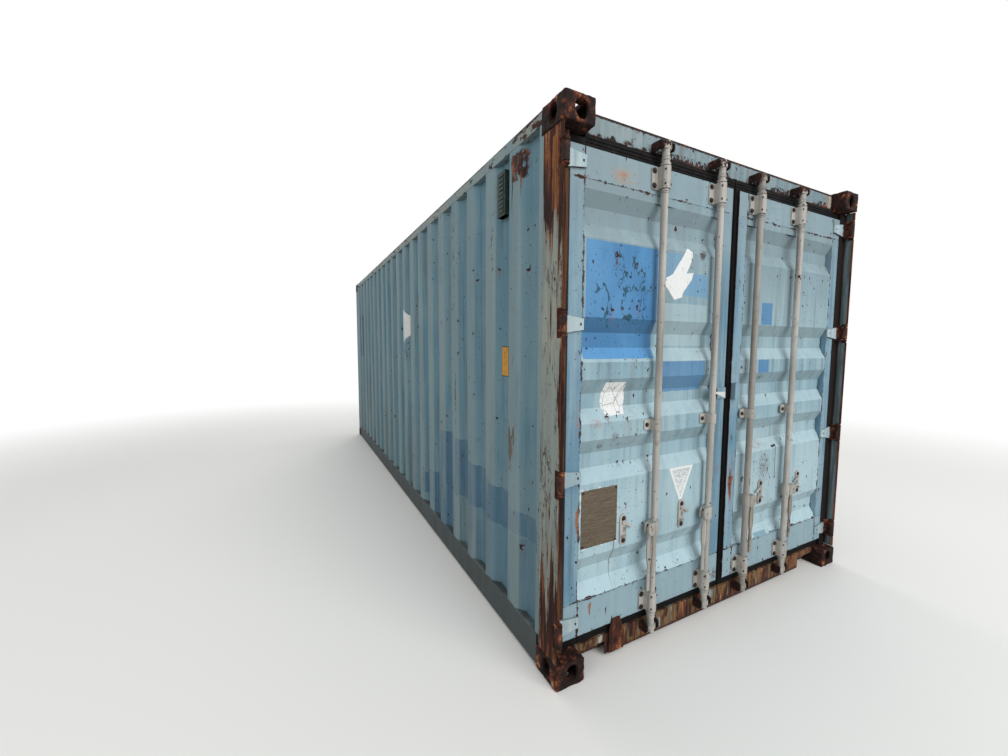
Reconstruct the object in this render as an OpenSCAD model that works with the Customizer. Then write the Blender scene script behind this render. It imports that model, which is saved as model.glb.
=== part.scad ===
// Twenty foot steel shipping container with a pair of rear doors.
// Lengths are in millimetres. The doors face -Y, +X is to the right of someone who looks at
// the doors, and Z = 0 is the level that the bottom corner castings stand on.
// Depths at the door end are measured inward from the end plane of the corner castings.

/* [Overall size] */
// Length over the corner castings
container_length = 6058; // [6050:1:6066]
// Width over the corner castings
container_width = 2438; // [2434:1:2442]
// Height over the corner castings
container_height = 2591; // [2585:1:2597]

/* [Corner castings] */
// Length of a casting along the container
casting_length = 178; // [174:1:182]
// Width of a casting across the container
casting_width = 162; // [160:1:166]
// Height of a casting
casting_height = 118; // [114:1:122]
// Wall of a casting on its outer sides
casting_wall = 20; // [14:1:24]
// Wall of a casting at its bottom or top opening
casting_floor = 28; // [22:1:32]
// Radius of a casting's outer upright edge
casting_round = 14; // [8:1:18]
// Long side of the bottom and top openings
slot_length = 124; // [120:1:126]
// Radius of the rounded ends of the bottom and top openings
slot_radius = 31.75; // [30:0.25:33]
// Distance of the openings' centres from the sides of the container
slot_inset_x = 89.5; // [87.5:0.5:91.5]
// Distance of the openings' centres from the ends of the container
slot_inset_y = 102.5; // [100.5:0.5:104.5]
// Height of the side and end openings
side_hole_height = 79.5; // [76:0.5:82]
// Width of the side openings
side_hole_width = 51; // [46:0.5:56]
// Width of the end openings
end_hole_width = 63.5; // [58:0.5:66]

/* [Rear frame] */
// Inset of posts, rails and walls from the casting faces
frame_inset = 4; // [3:1:5]
// Depth at which the rear posts' outer plates begin in the notches for the hinges
post_lip_depth = 40; // [38:1:44]
// Depth at which these plates begin between the notches for the hinges
post_front_depth = 10; // [8:1:16]
// Height of the notches for the hinges
notch_height = 126; // [122:1:134]
// Depth of the floor of the posts' hinge pockets
post_pocket_depth = 66; // [66:1:70]
// Width of a rear post, measured from the side of the container
post_width = 74; // [66:1:74]
// Depth of the back of the rear posts
post_back_depth = 160; // [150:1:166]
// Plate thickness of the rear posts
post_plate = 6; // [4:0.5:8]
// Depth of the stops that the doors close on
door_stop_depth = 126; // [124:1:130]
// Width of the side stops, measured from the side of the container
door_stop_width = 90; // [88:1:96]
// Depth of the front plate of the door header
header_depth = 88; // [86:1:92]
// Distance from the container's top down to the lower edge of the header
header_drop = 103; // [97:1:110]
// Depth of the front plate of the door sill
sill_depth = 72; // [70:1:76]
// Top edge of the sill's front plate above the ground
sill_top = 118; // [106:1:118]
// Width of the two notches in the sill, beside the castings
sill_notch_width = 180; // [150:1:200]
// Height of the two notches in the sill, above the sill's lower edge
sill_notch_height = 70; // [50:1:80]
// Plate thickness of the header and the sill
end_plate = 4; // [3:0.5:6]

/* [Side and roof shell] */
// Thickness of the side wall sheet, measured across the container
wall_sheet = 3; // [2:0.5:4]
// Depth of the side wall corrugation
wall_wave_depth = 36; // [30:1:40]
// Pitch of the side wall corrugation
wall_pitch = 283; // [276:0.5:285]
// Width of the outer flats of the side wall corrugation
wall_outer_flat = 90; // [70:1:110]
// Length of each slope of the side wall corrugation
wall_slope = 51; // [40:1:70]
// Depth at which the side wall corrugation begins
wall_start = 192; // [180:1:200]
// Size of the square top rails
top_rail = 60; // [56:1:66]
// Height of the bottom side rails
bottom_rail_height = 158; // [150:1:160]
// Width of the bottom side rails' flanges
bottom_rail_width = 48; // [40:1:56]
// Plate thickness of the rails
rail_plate = 4; // [3:0.5:6]
// Depth of the roof corrugation
roof_wave_depth = 20; // [16:1:24]
// Pitch of the roof corrugation
roof_pitch = 209; // [200:1:215]
// Depth of the front wall corrugation
front_wave_depth = 45; // [36:1:46]
// Pitch of the front wall corrugation
front_pitch = 250; // [240:1:256]
// Height of the front posts' and rails' section
front_frame = 70; // [60:1:80]

// Distance from the container's top down to the ventilators
ventilator_drop = 121; // [110:1:140]
// Height of the ventilators
ventilator_height = 230; // [180:1:240]
// Height of the marker plate's lower edge above the ground
marker_low = 1389; // [1370:1:1410]
// Height of the marker plate
marker_height = 166; // [150:1:180]

/* [Floor] */
// Height of the cross members
cross_member_height = 118; // [100:1:122]
// Number of cross members under the floor
cross_member_count = 18; // [14:1:20]
// Thickness of the floor boards
floor_thickness = 28; // [25:1:30]
// Height of the floor's upper face
floor_top = 164; // [162:1:168]

/* [Door leaves] */
// Outer edge of each leaf, measured from the side of the container
leaf_edge = 80; // [80:1:84]
// Half of the gap between the two leaves' steel edges
meeting_half_gap = 28; // [24:1:30]
// Depth of the leaves' outer face
leaf_depth = 66; // [65:1:67]
// Thickness of the leaves' frames
leaf_thickness = 50; // [46:1:52]
// Lower edge of the leaves above the ground
leaf_low = 170; // [168:1:174]
// Distance from the header's lower edge down to the leaves' upper edge
leaf_drop = 62; // [58:1:68]
// Visible width of the leaves' upright frame members
stile_width = 80; // [70:1:90]
// Height of the leaves' top frame member
top_member = 136; // [126:1:146]
// Height of the leaves' bottom frame member
bottom_member = 176; // [166:1:178]
// Wall thickness of the leaves' frame tubes
frame_tube_wall = 4; // [3:0.5:6]
// Depth of the pressings in the leaves' panels
press_depth = 34; // [28:1:36]
// Thickness of the leaves' panels, measured through the door
panel_sheet = 3; // [2:0.5:4]
// Height of each of the five horizontal pressings at the face
press_height = 206; // [196:1:208]
// Height of the flat floor of each pressing
press_floor = 70; // [60:1:80]
// Height of the two narrow raised bands
narrow_band = 80; // [74:1:86]
// Extra depth of the upright troughs behind the rods
trough_depth = 12; // [8:1:13]
// Distance from a rod's axis to the far edge of its trough
trough_far = 40; // [34:1:46]
// Width of each sloped side of a trough
trough_side = 64; // [50:1:70]
// Width of the flat floor of a trough
trough_floor = 28; // [20:1:40]

/* [Door fittings] */
// Lower edge of the left leaf's hasp plate above the ground
hasp_low = 1262; // [1240:1:1280]
// Height of the left leaf's hasp plate
hasp_height = 64; // [50:1:80]
// Length of the left leaf's hasp plate
hasp_length = 122; // [100:1:124]
// Lower edge of the right leaf's hasp above the ground
lock_low = 1256; // [1240:1:1280]
// Height of the right leaf's hasp
lock_height = 94; // [70:1:110]
// Width of the right leaf's hasp
lock_width = 42; // [30:1:50]
// How far the right leaf's hasp stands out from the leaf
lock_reach = 30; // [20:1:34]
// Distance of the data plate from the side of the container
data_inset = 173; // [165:1:180]
// Lower edge of the data plate above the ground
data_low = 600; // [560:1:620]
// Width of the data plate
data_width = 220; // [200:1:230]
// Height of the data plate
data_height = 280; // [200:1:290]
// Distance of the rusty foot strap from the side of the container
strap_inset = 361; // [355:1:366]
// Lower end of the foot strap above the ground
strap_low = 20; // [15:1:40]
// Width of the foot strap
strap_width = 97; // [90:1:104]
// Height of the foot strap
strap_height = 176; // [170:1:190]

/* [Seals] */
// Half of the gap between the two leaves' seals
seal_half_gap = 4.5; // [4.5:0.5:6]
// Clearance between the seals and the header or the sill
seal_clearance = 5; // [5:0.5:6]
// Depth of the front of the seals
seal_depth = 80; // [78:1:84]
// Depth of the back of the seals
seal_back_depth = 108; // [104:1:110]

/* [Hinges] */
// Distance of the hinge pins from the side of the container
pin_inset = 24; // [23:0.5:25]
// Depth of the hinge pins
pin_depth = 20; // [19:0.5:21]
// Radius of the hinge pins
pin_radius = 10; // [8:0.5:11]
// Clearance of the pins in the blades, measured on the radius
pin_clearance = 0.5; // [0.3:0.1:0.8]
// Outer radius of the blades' eyes
eye_radius = 16; // [15:0.5:16]
// Height of a hinge blade
blade_height = 80; // [70:1:84]
// Height of a hinge blade at its free end
blade_tip = 50; // [44:1:60]
// Reach of a hinge blade from its pin along the leaf
blade_reach = 140; // [130:1:150]
// Thickness of a hinge blade
blade_thickness = 12; // [10:1:12]
// Clearance between a blade and the lugs above and below it
lug_gap = 3; // [2:0.5:4]
// Thickness of a hinge lug
lug_thickness = 10; // [8:1:11]

/* [Locking gear] */
// Distance of the outer rods from the middle of the container
outer_rod_x = 600; // [590:1:610]
// Distance of the inner rods from the middle of the container
inner_rod_x = 178; // [172:1:184]
// Depth of the rods' axes
rod_depth = 34; // [33:0.5:35]
// Radius of the rods
rod_radius = 17; // [15:0.5:18]
// Clearance of the rods in their bearings, measured on the radius
rod_clearance = 0.6; // [0.4:0.1:0.8]
// Lower end of the rods above the ground
rod_low = 70; // [64:1:76]
// How far the rods reach above the header's lower edge
rod_over = 44; // [40:1:48]
// Length of the cam from the rod's axis
cam_reach = 28; // [24:1:29]
// Height of the cams
cam_height = 24; // [18:1:28]
// Clearance between a cam and the keeper's lugs
keeper_gap = 6; // [5:0.5:8]
// Thickness of the keepers' lugs
keeper_plate = 10; // [8:1:12]
// Width of the rod bearings' plates
bearing_width = 122; // [110:1:130]
// Height of the rod bearings' plates
bearing_height = 104; // [96:1:112]
// Height of the rod guides' plates
guide_height = 54; // [46:1:60]
// Distance of the upper bearings' centres below the leaves' upper edge
bearing_drop = 62; // [56:1:68]
// Distance of the lower bearings' centres above the leaves' lower edge
bearing_rise = 66; // [60:1:72]
// Height of the guides' centres
guide_z = 1163; // [1150:1:1176]
// Height of the handle pivots
handle_pivot_z = 636; // [626:1:646]
// Distance of the handle pivots from the rods' axes
handle_offset = 40; // [38:1:44]
// Size of the forks' cheeks round the handle pivots
fork_size = 68; // [64:1:74]
// Reach of a fork past its handle's pivot
fork_reach = 20; // [18:1:26]
// Radius of a fork's outer corners
fork_round = 24; // [20:1:28]
// Depth of the forks' front faces
fork_front = 6; // [5:1:8]
// Thickness of the forks, measured through the door
fork_thickness = 34; // [32:1:36]
// Width of the slot in a fork that the handle swings in
fork_slot = 14; // [13:1:16]
// Thickness of the handles
handle_thickness = 10; // [8:1:11]
// Length of the handles from their pivots
handle_length = 332; // [300:1:340]
// Distance of the handle retainers from the rods
retainer_offset = 185; // [175:1:190]
// Height of the handle retainers' centres
retainer_z = 648; // [640:1:656]
// Height of the handle retainers' plates
retainer_height = 155; // [140:1:165]
// Height of the pivots of the retainers' catches
catch_z = 684; // [678:1:690]

/* [Hidden] */
$fn = 48;

// Colours as they look on the weathered object.
paint = [0.53, 0.69, 0.75];
side_paint = [0.33, 0.45, 0.50];
rust = [0.25, 0.14, 0.11];
zinc = [0.66, 0.62, 0.57];
rubber = [0.06, 0.06, 0.07];

half_length = container_length / 2;
half_width = container_width / 2;
rear_y = -half_length;
front_y = half_length;
pin_x = -half_width + pin_inset;
pin_y = rear_y + pin_depth;
rod_y = rear_y + rod_depth;
leaf_x = -half_width + leaf_edge;
leaf_y = rear_y + leaf_depth;
shell_low = 12;
shell_high = container_height - 6;
rail_top_z = shell_low + bottom_rail_height;
casting_inner_x = half_width - casting_width;
header_low = container_height - header_drop;
leaf_high = header_low - leaf_drop;
rod_high = header_low + rod_over;
bearing_high_z = leaf_high - bearing_drop;
bearing_low_z = leaf_low + bearing_rise;
hinge_first = leaf_low + 80;
hinge_last = leaf_high - 71;
hinge_heights = [for (i = [0 : 3]) hinge_first + i * (hinge_last - hinge_first) / 3];
press_top = leaf_high - top_member - 40;
press_end = leaf_low + bottom_member + 2;
wide_band = (press_top - press_end - 5 * press_height - 2 * narrow_band) / 2;
fork_mid = rear_y + fork_front + fork_thickness / 2;

// A block between two corners: x, depth behind the door end plane, z.
module block(x, d, z) {
    translate([x[0], rear_y + d[0], z[0]]) cube([x[1] - x[0], d[1] - d[0], z[1] - z[0]]);
}

// A profile drawn in Y and Z, drawn out along X from x[0] to x[1].
module along_x(x) {
    translate([x[0], 0, 0]) rotate([90, 0, 90]) linear_extrude(x[1] - x[0]) children();
}

// A profile drawn in X and Z, drawn out along Y from y[0] to y[1].
module along_y(y) {
    translate([0, y[1], 0]) rotate([90, 0, 0]) linear_extrude(y[1] - y[0]) children();
}

// A profile drawn in X and Y, drawn out along Z from z[0] to z[1].
module along_z(z) {
    translate([0, 0, z[0]]) linear_extrude(z[1] - z[0]) children();
}

// The same piece on the left and on the right.
module both_sides() {
    children();
    mirror([1, 0, 0]) children();
}

// A slot with round ends: centre distance a along local x, radius r.
module slot_2d(a, r) {
    translate([-a / 2, -r]) square([a, 2 * r]);
    translate([-a / 2, 0]) circle(r);
    translate([a / 2, 0]) circle(r);
}

// A rectangle about the origin with rounded corners.
module rounded_2d(w, h, r) {
    square([w - 2 * r, h], center = true);
    square([w, h - 2 * r], center = true);
    for (a = [-1, 1]) for (b = [-1, 1]) translate([a * (w / 2 - r), b * (h / 2 - r)]) circle(r);
}

function reversed(list) = [for (i = [len(list) - 1 : -1 : 0]) list[i]];

// Outer line of a corrugated sheet: along u, with v the depth of the wave.
function wave_line(first, last, start, count, pitch, slope, flat_in, depth) = concat(
    [[first, 0]],
    [for (i = [0 : count - 1]) each [
        [start + i * pitch, 0],
        [start + i * pitch + slope, depth],
        [start + i * pitch + slope + flat_in, depth],
        [start + i * pitch + 2 * slope + flat_in, 0]]],
    [[last, 0]]);

function shifted(line, v) = [for (p = line) [p[0], p[1] + v]];

// Corner castings. The local origin is the outer corner on the ground, the body extends
// towards +x, +y and +z.
module corner_casting() {
    hole_z = 61;
    difference() {
        union() {
            translate([casting_round, 0, 0])
                cube([casting_width - casting_round, casting_length, casting_height]);
            translate([0, casting_round, 0])
                cube([casting_width, casting_length - casting_round, casting_height]);
            translate([casting_round, casting_round, 0])
                cylinder(r = casting_round, h = casting_height);
        }
        translate([casting_wall, casting_wall, casting_floor])
            cube([casting_width - casting_wall - 12, casting_length - casting_wall - 10,
                casting_height - casting_floor - 12]);
        translate([slot_inset_x, slot_inset_y, -1]) linear_extrude(casting_floor + 2)
            rotate(90) slot_2d(slot_length - 2 * slot_radius, slot_radius);
        translate([-1, 89, hole_z]) rotate([90, 0, 90]) linear_extrude(casting_wall + 2)
            rotate(90) slot_2d(side_hole_height - side_hole_width, side_hole_width / 2);
        translate([89, casting_wall + 1, hole_z]) rotate([90, 0, 0])
            linear_extrude(casting_wall + 2)
            rotate(90) slot_2d(side_hole_height - end_hole_width, end_hole_width / 2);
    }
}

module corner_castings_rear() {
    color(rust) both_sides() translate([-half_width, rear_y, 0]) {
        corner_casting();
        translate([0, 0, container_height]) mirror([0, 0, 1]) corner_casting();
    }
}

module corner_castings_front() {
    color(rust) mirror([0, 1, 0]) both_sides() translate([-half_width, rear_y, 0]) {
        corner_casting();
        translate([0, 0, container_height]) mirror([0, 0, 1]) corner_casting();
    }
}

// Rear posts: an outer plate with a notch at each hinge, a pocket for the hinges and a
// closed box behind it, with the stop that the door seals on.
module rear_posts() {
    s0 = -half_width + frame_inset;
    s1 = -half_width + post_width;
    s2 = -half_width + door_stop_width;
    t = post_plate;
    ends = concat([casting_height], [for (h = hinge_heights, s = [-1, 1]) h + s * notch_height / 2],
        [container_height - casting_height]);
    color(rust) both_sides() {
        along_z([casting_height, container_height - casting_height])
            translate([0, rear_y]) difference() {
                polygon([[s0, post_lip_depth], [s0 + t, post_lip_depth],
                    [s0 + t, post_pocket_depth], [s1, post_pocket_depth],
                    [s1, door_stop_depth], [s2, door_stop_depth], [s2, post_back_depth],
                    [s0, post_back_depth]]);
                polygon([[s0 + t, post_pocket_depth + t], [s1 - t, post_pocket_depth + t],
                    [s1 - t, door_stop_depth + t], [s2 - t, door_stop_depth + t],
                    [s2 - t, post_back_depth - t], [s0 + t, post_back_depth - t]]);
            }
        for (i = [0 : 2 : len(ends) - 2])
            block([s0, s0 + t], [post_front_depth, post_lip_depth + 1], [ends[i], ends[i + 1]]);
    }
}

// Front posts: an angle shaped hollow section in each front corner.
module front_posts() {
    s0 = -half_width + frame_inset;
    y1 = front_y - frame_inset;
    color(side_paint) both_sides()
        along_z([casting_height, container_height - casting_height])
        difference() {
            translate([s0, y1 - post_back_depth + frame_inset])
                square([front_frame, post_back_depth - frame_inset]);
            translate([s0 + post_plate, y1 - post_back_depth + frame_inset + post_plate])
                square([front_frame - 2 * post_plate,
                    post_back_depth - frame_inset - 2 * post_plate]);
        }
}

// Header over the doors: a closed section with the stop for the doors' upper seal.
module door_header() {
    t = end_plate;
    high = shell_high;
    stop_low = leaf_high - 14;
    color(paint) along_x([-casting_inner_x, casting_inner_x])
        translate([rear_y, 0]) difference() {
            polygon([[header_depth, header_low], [header_depth, high], [casting_length, high],
                [casting_length, stop_low], [door_stop_depth, stop_low],
                [door_stop_depth, header_low]]);
            polygon([[header_depth + t, header_low + t], [header_depth + t, high - t],
                [casting_length - t, high - t], [casting_length - t, stop_low + t],
                [door_stop_depth + t, stop_low + t], [door_stop_depth + t, header_low + t]]);
        }
}

// Sill under the doors: a front plate with two notches, a top plate, the stop for the
// doors' lower seal and a rear web.
module door_sill() {
    t = end_plate;
    color(paint) difference() {
        along_x([-casting_inner_x, casting_inner_x]) translate([rear_y, 0])
            polygon([[sill_depth, shell_low], [sill_depth + t, shell_low],
                [sill_depth + t, sill_top - t], [door_stop_depth, sill_top - t],
                [door_stop_depth, shell_low], [casting_length, shell_low],
                [casting_length, floor_top], [door_stop_depth + 6, floor_top],
                [door_stop_depth + 6, leaf_low + 12], [door_stop_depth, leaf_low + 12],
                [door_stop_depth, sill_top], [sill_depth, sill_top]]);
        along_x([-casting_inner_x - 1, casting_inner_x + 1]) translate([rear_y, 0])
            translate([door_stop_depth + t, shell_low + t])
            square([casting_length - door_stop_depth - 2 * t, floor_top - shell_low - 2 * t]);
        both_sides() block([-casting_inner_x - 1, -casting_inner_x + sill_notch_width],
            [sill_depth - 1, door_stop_depth - 5],
            [shell_low - 1, shell_low + sill_notch_height]);
    }
}

// Rails across the front end, between the front castings. The upper one has a plate that
// reaches back to the roof.
module front_rails() {
    t = rail_plate;
    color(side_paint) {
        along_x([-casting_inner_x, casting_inner_x]) difference() {
            union() {
                translate([front_y - frame_inset - front_frame, shell_high - front_frame])
                    square(front_frame);
                translate([front_y - casting_length, shell_high - 2 - t])
                    square([casting_length - front_frame, t]);
            }
            translate([front_y - frame_inset - front_frame + t, shell_high - front_frame + t])
                square(front_frame - 2 * t);
        }
        along_x([-casting_inner_x, casting_inner_x]) difference() {
            translate([front_y - frame_inset - front_frame, shell_low])
                square([front_frame, rail_top_z - shell_low]);
            translate([front_y - frame_inset - front_frame - 1, shell_low + t])
                square([front_frame - t + 1, rail_top_z - shell_low - 2 * t]);
        }
    }
}

module top_side_rails() {
    s0 = -half_width + frame_inset;
    t = rail_plate;
    color(paint) both_sides() along_y([rear_y + casting_length, front_y - casting_length])
        difference() {
            translate([s0, shell_high - top_rail]) square(top_rail);
            translate([s0 + t, shell_high - top_rail + t]) square(top_rail - 2 * t);
        }
}

module bottom_side_rails() {
    s0 = -half_width + frame_inset;
    t = rail_plate;
    w = bottom_rail_width;
    color(side_paint) both_sides() along_y([rear_y + casting_length, front_y - casting_length])
        polygon([[s0 + w, shell_low], [s0, shell_low], [s0, rail_top_z], [s0 + w, rail_top_z],
            [s0 + w, rail_top_z - t], [s0 + t, rail_top_z - t], [s0 + t, shell_low + t],
            [s0 + w, shell_low + t]]);
}

// Side walls: upright corrugations between the posts and between the rails.
module side_walls() {
    s0 = -half_width + frame_inset + 1;
    flat_in = wall_pitch - wall_outer_flat - 2 * wall_slope;
    last = container_length - post_back_depth;
    count = floor((last - 20 - wall_start) / wall_pitch);
    line = wave_line(post_back_depth, last, wall_start, count, wall_pitch, wall_slope,
        flat_in, wall_wave_depth);
    high = container_height - casting_height;
    color(side_paint) both_sides() difference() {
        along_z([rail_top_z, shell_high - top_rail])
            translate([s0, rear_y])
            polygon([for (p = concat(line, reversed(shifted(line, wall_sheet)))) [p[1], p[0]]]);
        for (y = [rear_y, front_y - casting_length])
            translate([-half_width, y, high]) cube([casting_width, casting_length, casting_height]);
    }
}

// Front wall: upright corrugations between the front posts.
module front_wall() {
    x0 = -half_width + frame_inset + front_frame;
    slope = 45;
    flat_in = (front_pitch - 2 * slope) / 2;
    count = floor((-2 * x0 - 20) / front_pitch);
    start = -count * front_pitch / 2 + flat_in / 2;
    line = wave_line(x0, -x0, start, count, front_pitch, slope, flat_in, front_wave_depth);
    y1 = front_y - frame_inset - 2;
    color(side_paint) difference() {
        along_z([rail_top_z, shell_high - front_frame])
            polygon([for (p = concat(line, reversed(shifted(line, wall_sheet))))
                [p[0], y1 - p[1]]]);
        both_sides() translate([-half_width, front_y - casting_length,
            container_height - casting_height])
            cube([casting_width, casting_length, casting_height]);
    }
}

// Roof: corrugations across the container, between the top side rails.
module roof_panel() {
    y0 = rear_y + casting_length;
    y1 = front_y - casting_length;
    slope = 30;
    flat_in = (roof_pitch - 2 * slope) / 2;
    count = floor((y1 - y0 - 30) / roof_pitch);
    start = y0 + (y1 - y0 - count * roof_pitch + flat_in) / 2;
    line = wave_line(y0, y1, start, count, roof_pitch, slope, flat_in, roof_wave_depth);
    x0 = half_width - frame_inset - top_rail;
    color(side_paint) along_x([-x0, x0])
        polygon([for (p = concat(line, reversed(shifted(line, wall_sheet))))
            [p[0], shell_high - 2 - p[1]]]);
}

// Cross members: channels under the floor, between the bottom side rails.
module cross_members() {
    x0 = half_width - frame_inset - rail_plate;
    y0 = rear_y + casting_length + 60;
    y1 = front_y - casting_length - 60;
    low = floor_top - floor_thickness - cross_member_height;
    high = floor_top - floor_thickness;
    t = 4.5;
    color(side_paint) for (i = [0 : cross_member_count - 1])
        translate([0, y0 + i * (y1 - y0) / (cross_member_count - 1), 0])
        along_x([-x0, x0])
        polygon([[-22, low], [22, low], [22, low + t], [-22 + t, low + t],
            [-22 + t, high - t], [22, high - t], [22, high], [-22, high]]);
}

// Floor: boards laid along the container on the cross members.
module floor_boards() {
    x0 = half_width - frame_inset - 1 - wall_wave_depth - wall_sheet - 6;
    board = 2 * x0 / 4;
    color([0.42, 0.30, 0.20]) for (i = [0 : 3])
        block([-x0 + i * board + 0.5, -x0 + (i + 1) * board - 0.5],
            [casting_length, container_length - casting_length],
            [floor_top - floor_thickness, floor_top]);
}

// Hinge lugs: one above and one below each blade, welded into the posts' pockets.
module hinge_lugs() {
    s0 = -half_width + frame_inset + post_plate;
    color(rust) both_sides() for (h = hinge_heights)
        for (z = [h - blade_height / 2 - lug_gap - lug_thickness,
                h + blade_height / 2 + lug_gap])
            along_z([z, z + lug_thickness]) difference() {
                union() {
                    translate([pin_x, pin_y]) circle(eye_radius);
                    translate([pin_x - 14, pin_y]) square([30, post_pocket_depth - pin_depth]);
                }
                translate([pin_x, pin_y]) circle(pin_radius + 0.2);
            }
}

module hinge_pins() {
    color(zinc) both_sides() for (h = hinge_heights) {
        reach = blade_height / 2 + lug_gap + lug_thickness;
        translate([pin_x, pin_y, h - reach]) cylinder(r = pin_radius, h = 2 * reach);
        translate([pin_x, pin_y, h + reach]) cylinder(r = pin_radius + 4, h = 6);
    }
}

// Hinge blades: an eye round the pin, a neck that reaches back and a blade on the leaf.
module hinge_blades_left() {
    t = blade_thickness;
    back = leaf_y;
    half = blade_height / 2 + 1;
    tip = blade_tip / 2;
    color(paint) for (h = hinge_heights) intersection() {
        along_z([h - blade_height / 2, h + blade_height / 2]) difference() {
            union() {
                translate([pin_x, pin_y]) circle(eye_radius);
                polygon([[pin_x - 14, pin_y], [pin_x + 5, pin_y],
                    [pin_x + 5, back - t - 6], [pin_x + 11, back - t],
                    [pin_x + blade_reach - 8, back - t], [pin_x + blade_reach, back - t + 4],
                    [pin_x + blade_reach, back], [leaf_x, back], [pin_x - 4, back],
                    [pin_x - 14, back - 10]]);
            }
            translate([pin_x, pin_y]) circle(pin_radius + pin_clearance);
        }
        translate([0, 0, h]) along_y([rear_y - 1, back + 1])
            polygon([[pin_x - 20, -half], [pin_x + 30, -half], [pin_x + blade_reach + 1, -tip],
                [pin_x + blade_reach + 1, tip], [pin_x + 30, half], [pin_x - 20, half]]);
    }
}

// Keepers: two lugs on each side of every rod end, on the header and on the sill.
module rod_keepers() {
    inner = cam_reach + keeper_gap;
    outer = inner + keeper_plate;
    high = header_low + 2;
    low = rod_low + 2;
    color(rust) both_sides() for (x = [-outer_rod_x, -inner_rod_x]) {
        for (s = [-1, 1]) {
            a = min(x + s * inner, x + s * outer);
            along_x([a, a + keeper_plate]) translate([rear_y, 0]) {
                polygon([[16, high + 8], [24, high], [header_depth, high],
                    [header_depth, high + 44], [30, high + 44], [16, high + 32]]);
                polygon([[16, low + 14], [30, low], [sill_depth, low], [sill_depth, low + 56],
                    [24, low + 56], [16, low + 48]]);
            }
        }
        block([x - outer, x + outer], [header_depth - 8, header_depth], [high, high + 6]);
        block([x - outer, x + outer], [sill_depth - 8, sill_depth], [low, low + 6]);
    }
}

// Small boxes over the air holes, high on the side walls.
module side_ventilators() {
    s0 = -half_width + frame_inset + 1;
    y0 = wall_start + wall_pitch + wall_slope + 2;
    long = wall_pitch - wall_outer_flat - 2 * wall_slope - 4;
    low = container_height - ventilator_drop - ventilator_height;
    far = wall_pitch * (floor((container_length - post_back_depth - 20 - wall_start)
        / wall_pitch) - 2);
    for (side = [0, 1]) color([0.16, 0.22, 0.22]) mirror([side, 0, 0])
        translate([0, side * far, 0]) difference() {
            translate([s0 + 1, rear_y + y0, low])
                cube([wall_wave_depth - 1, long, ventilator_height]);
            translate([s0 + 5, rear_y + y0 + 5, low - 1])
                cube([wall_wave_depth, long - 10, ventilator_height - 4]);
        }
}

module side_marker_plate() {
    s0 = -half_width + frame_inset + 1;
    y0 = wall_start + wall_pitch + wall_slope + 3;
    long = wall_pitch - wall_outer_flat - 2 * wall_slope - 6;
    color([0.75, 0.5, 0.1]) translate([s0 + wall_wave_depth - 2, rear_y + y0, marker_low])
        cube([2, long, marker_height]);
}

// One leaf's frame: four tubes welded into a rectangle.
module leaf_frame_left() {
    x1 = -meeting_half_gap;
    w = frame_tube_wall;
    difference() {
        block([leaf_x, x1], [leaf_depth, leaf_depth + leaf_thickness], [leaf_low, leaf_high]);
        block([leaf_x + stile_width, x1 - stile_width],
            [leaf_depth - 1, leaf_depth + leaf_thickness + 1],
            [leaf_low + bottom_member, leaf_high - top_member]);
        difference() {
            block([leaf_x + w, x1 - w], [leaf_depth + w, leaf_depth + leaf_thickness - w],
                [leaf_low + w, leaf_high - w]);
            block([leaf_x + stile_width - w, x1 - stile_width + w],
                [leaf_depth + w - 1, leaf_depth + leaf_thickness - w + 1],
                [leaf_low + bottom_member - w, leaf_high - top_member + w]);
        }
    }
}

module left_door_frame() {
    color(paint) {
        leaf_frame_left();
        block([-meeting_half_gap - hasp_length, -meeting_half_gap],
            [leaf_depth - 8, leaf_depth], [hasp_low, hasp_low + hasp_height]);
    }
}

module right_door_frame() {
    color(paint) {
        mirror([1, 0, 0]) leaf_frame_left();
        block([meeting_half_gap, meeting_half_gap + lock_width],
            [leaf_depth - lock_reach, leaf_depth], [lock_low, lock_low + lock_height]);
    }
}

// Solid whose front is the pressed face: raised bands and pressings across the leaf, which
// lie deeper in the upright troughs behind the rods.
module pressed_body(depth_shift) {
    x0 = leaf_x + stile_width;
    x1 = -meeting_half_gap - stile_width;
    z0 = leaf_low + bottom_member;
    z1 = leaf_high - top_member;
    difference() {
        block([x0, x1], [leaf_depth + depth_shift, leaf_depth + press_depth + trough_depth + 8],
            [z0, z1]);
        pressed_cut(x0 - 1, x1 - x0 + 2, depth_shift, 0);
        for (x = [-outer_rod_x, -inner_rod_x]) translate([x - trough_far, 0, 0]) {
            pressed_cut(0, trough_side, depth_shift, trough_depth / trough_side);
            pressed_cut(trough_side, trough_floor, depth_shift + trough_depth, 0);
            translate([2 * trough_side + trough_floor, 0, 0])
                pressed_cut(-trough_side, trough_side, depth_shift, -trough_depth / trough_side);
        }
    }
}

// What the five pressings cut away in front of the panel, from x along a given length. The
// lean lets the depth change along X.
module pressed_cut(x, length, depth_shift, lean) {
    slope = (press_height - press_floor) / 2;
    step_wide = press_height + wide_band;
    step_narrow = press_height + narrow_band;
    tops = [press_top, press_top - step_wide, press_top - step_wide - step_narrow,
        press_top - step_wide - 2 * step_narrow, press_top - 2 * step_wide - 2 * step_narrow];
    multmatrix([[1, 0, 0, x], [lean, 1, 0, min(x, 0) * lean], [0, 0, 1, 0], [0, 0, 0, 1]])
        along_x([0, length]) translate([rear_y + depth_shift, 0])
        polygon(concat([[leaf_depth - 30, press_top]], [for (top = tops) each [
            [leaf_depth, top], [leaf_depth + press_depth, top - slope],
            [leaf_depth + press_depth, top - slope - press_floor],
            [leaf_depth, top - press_height]]],
            [[leaf_depth - 30, press_end]]));
}

module leaf_panel_left() {
    difference() {
        pressed_body(0);
        pressed_body(panel_sheet);
    }
}

module left_door_panel() {
    color(paint) leaf_panel_left();
}

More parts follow.
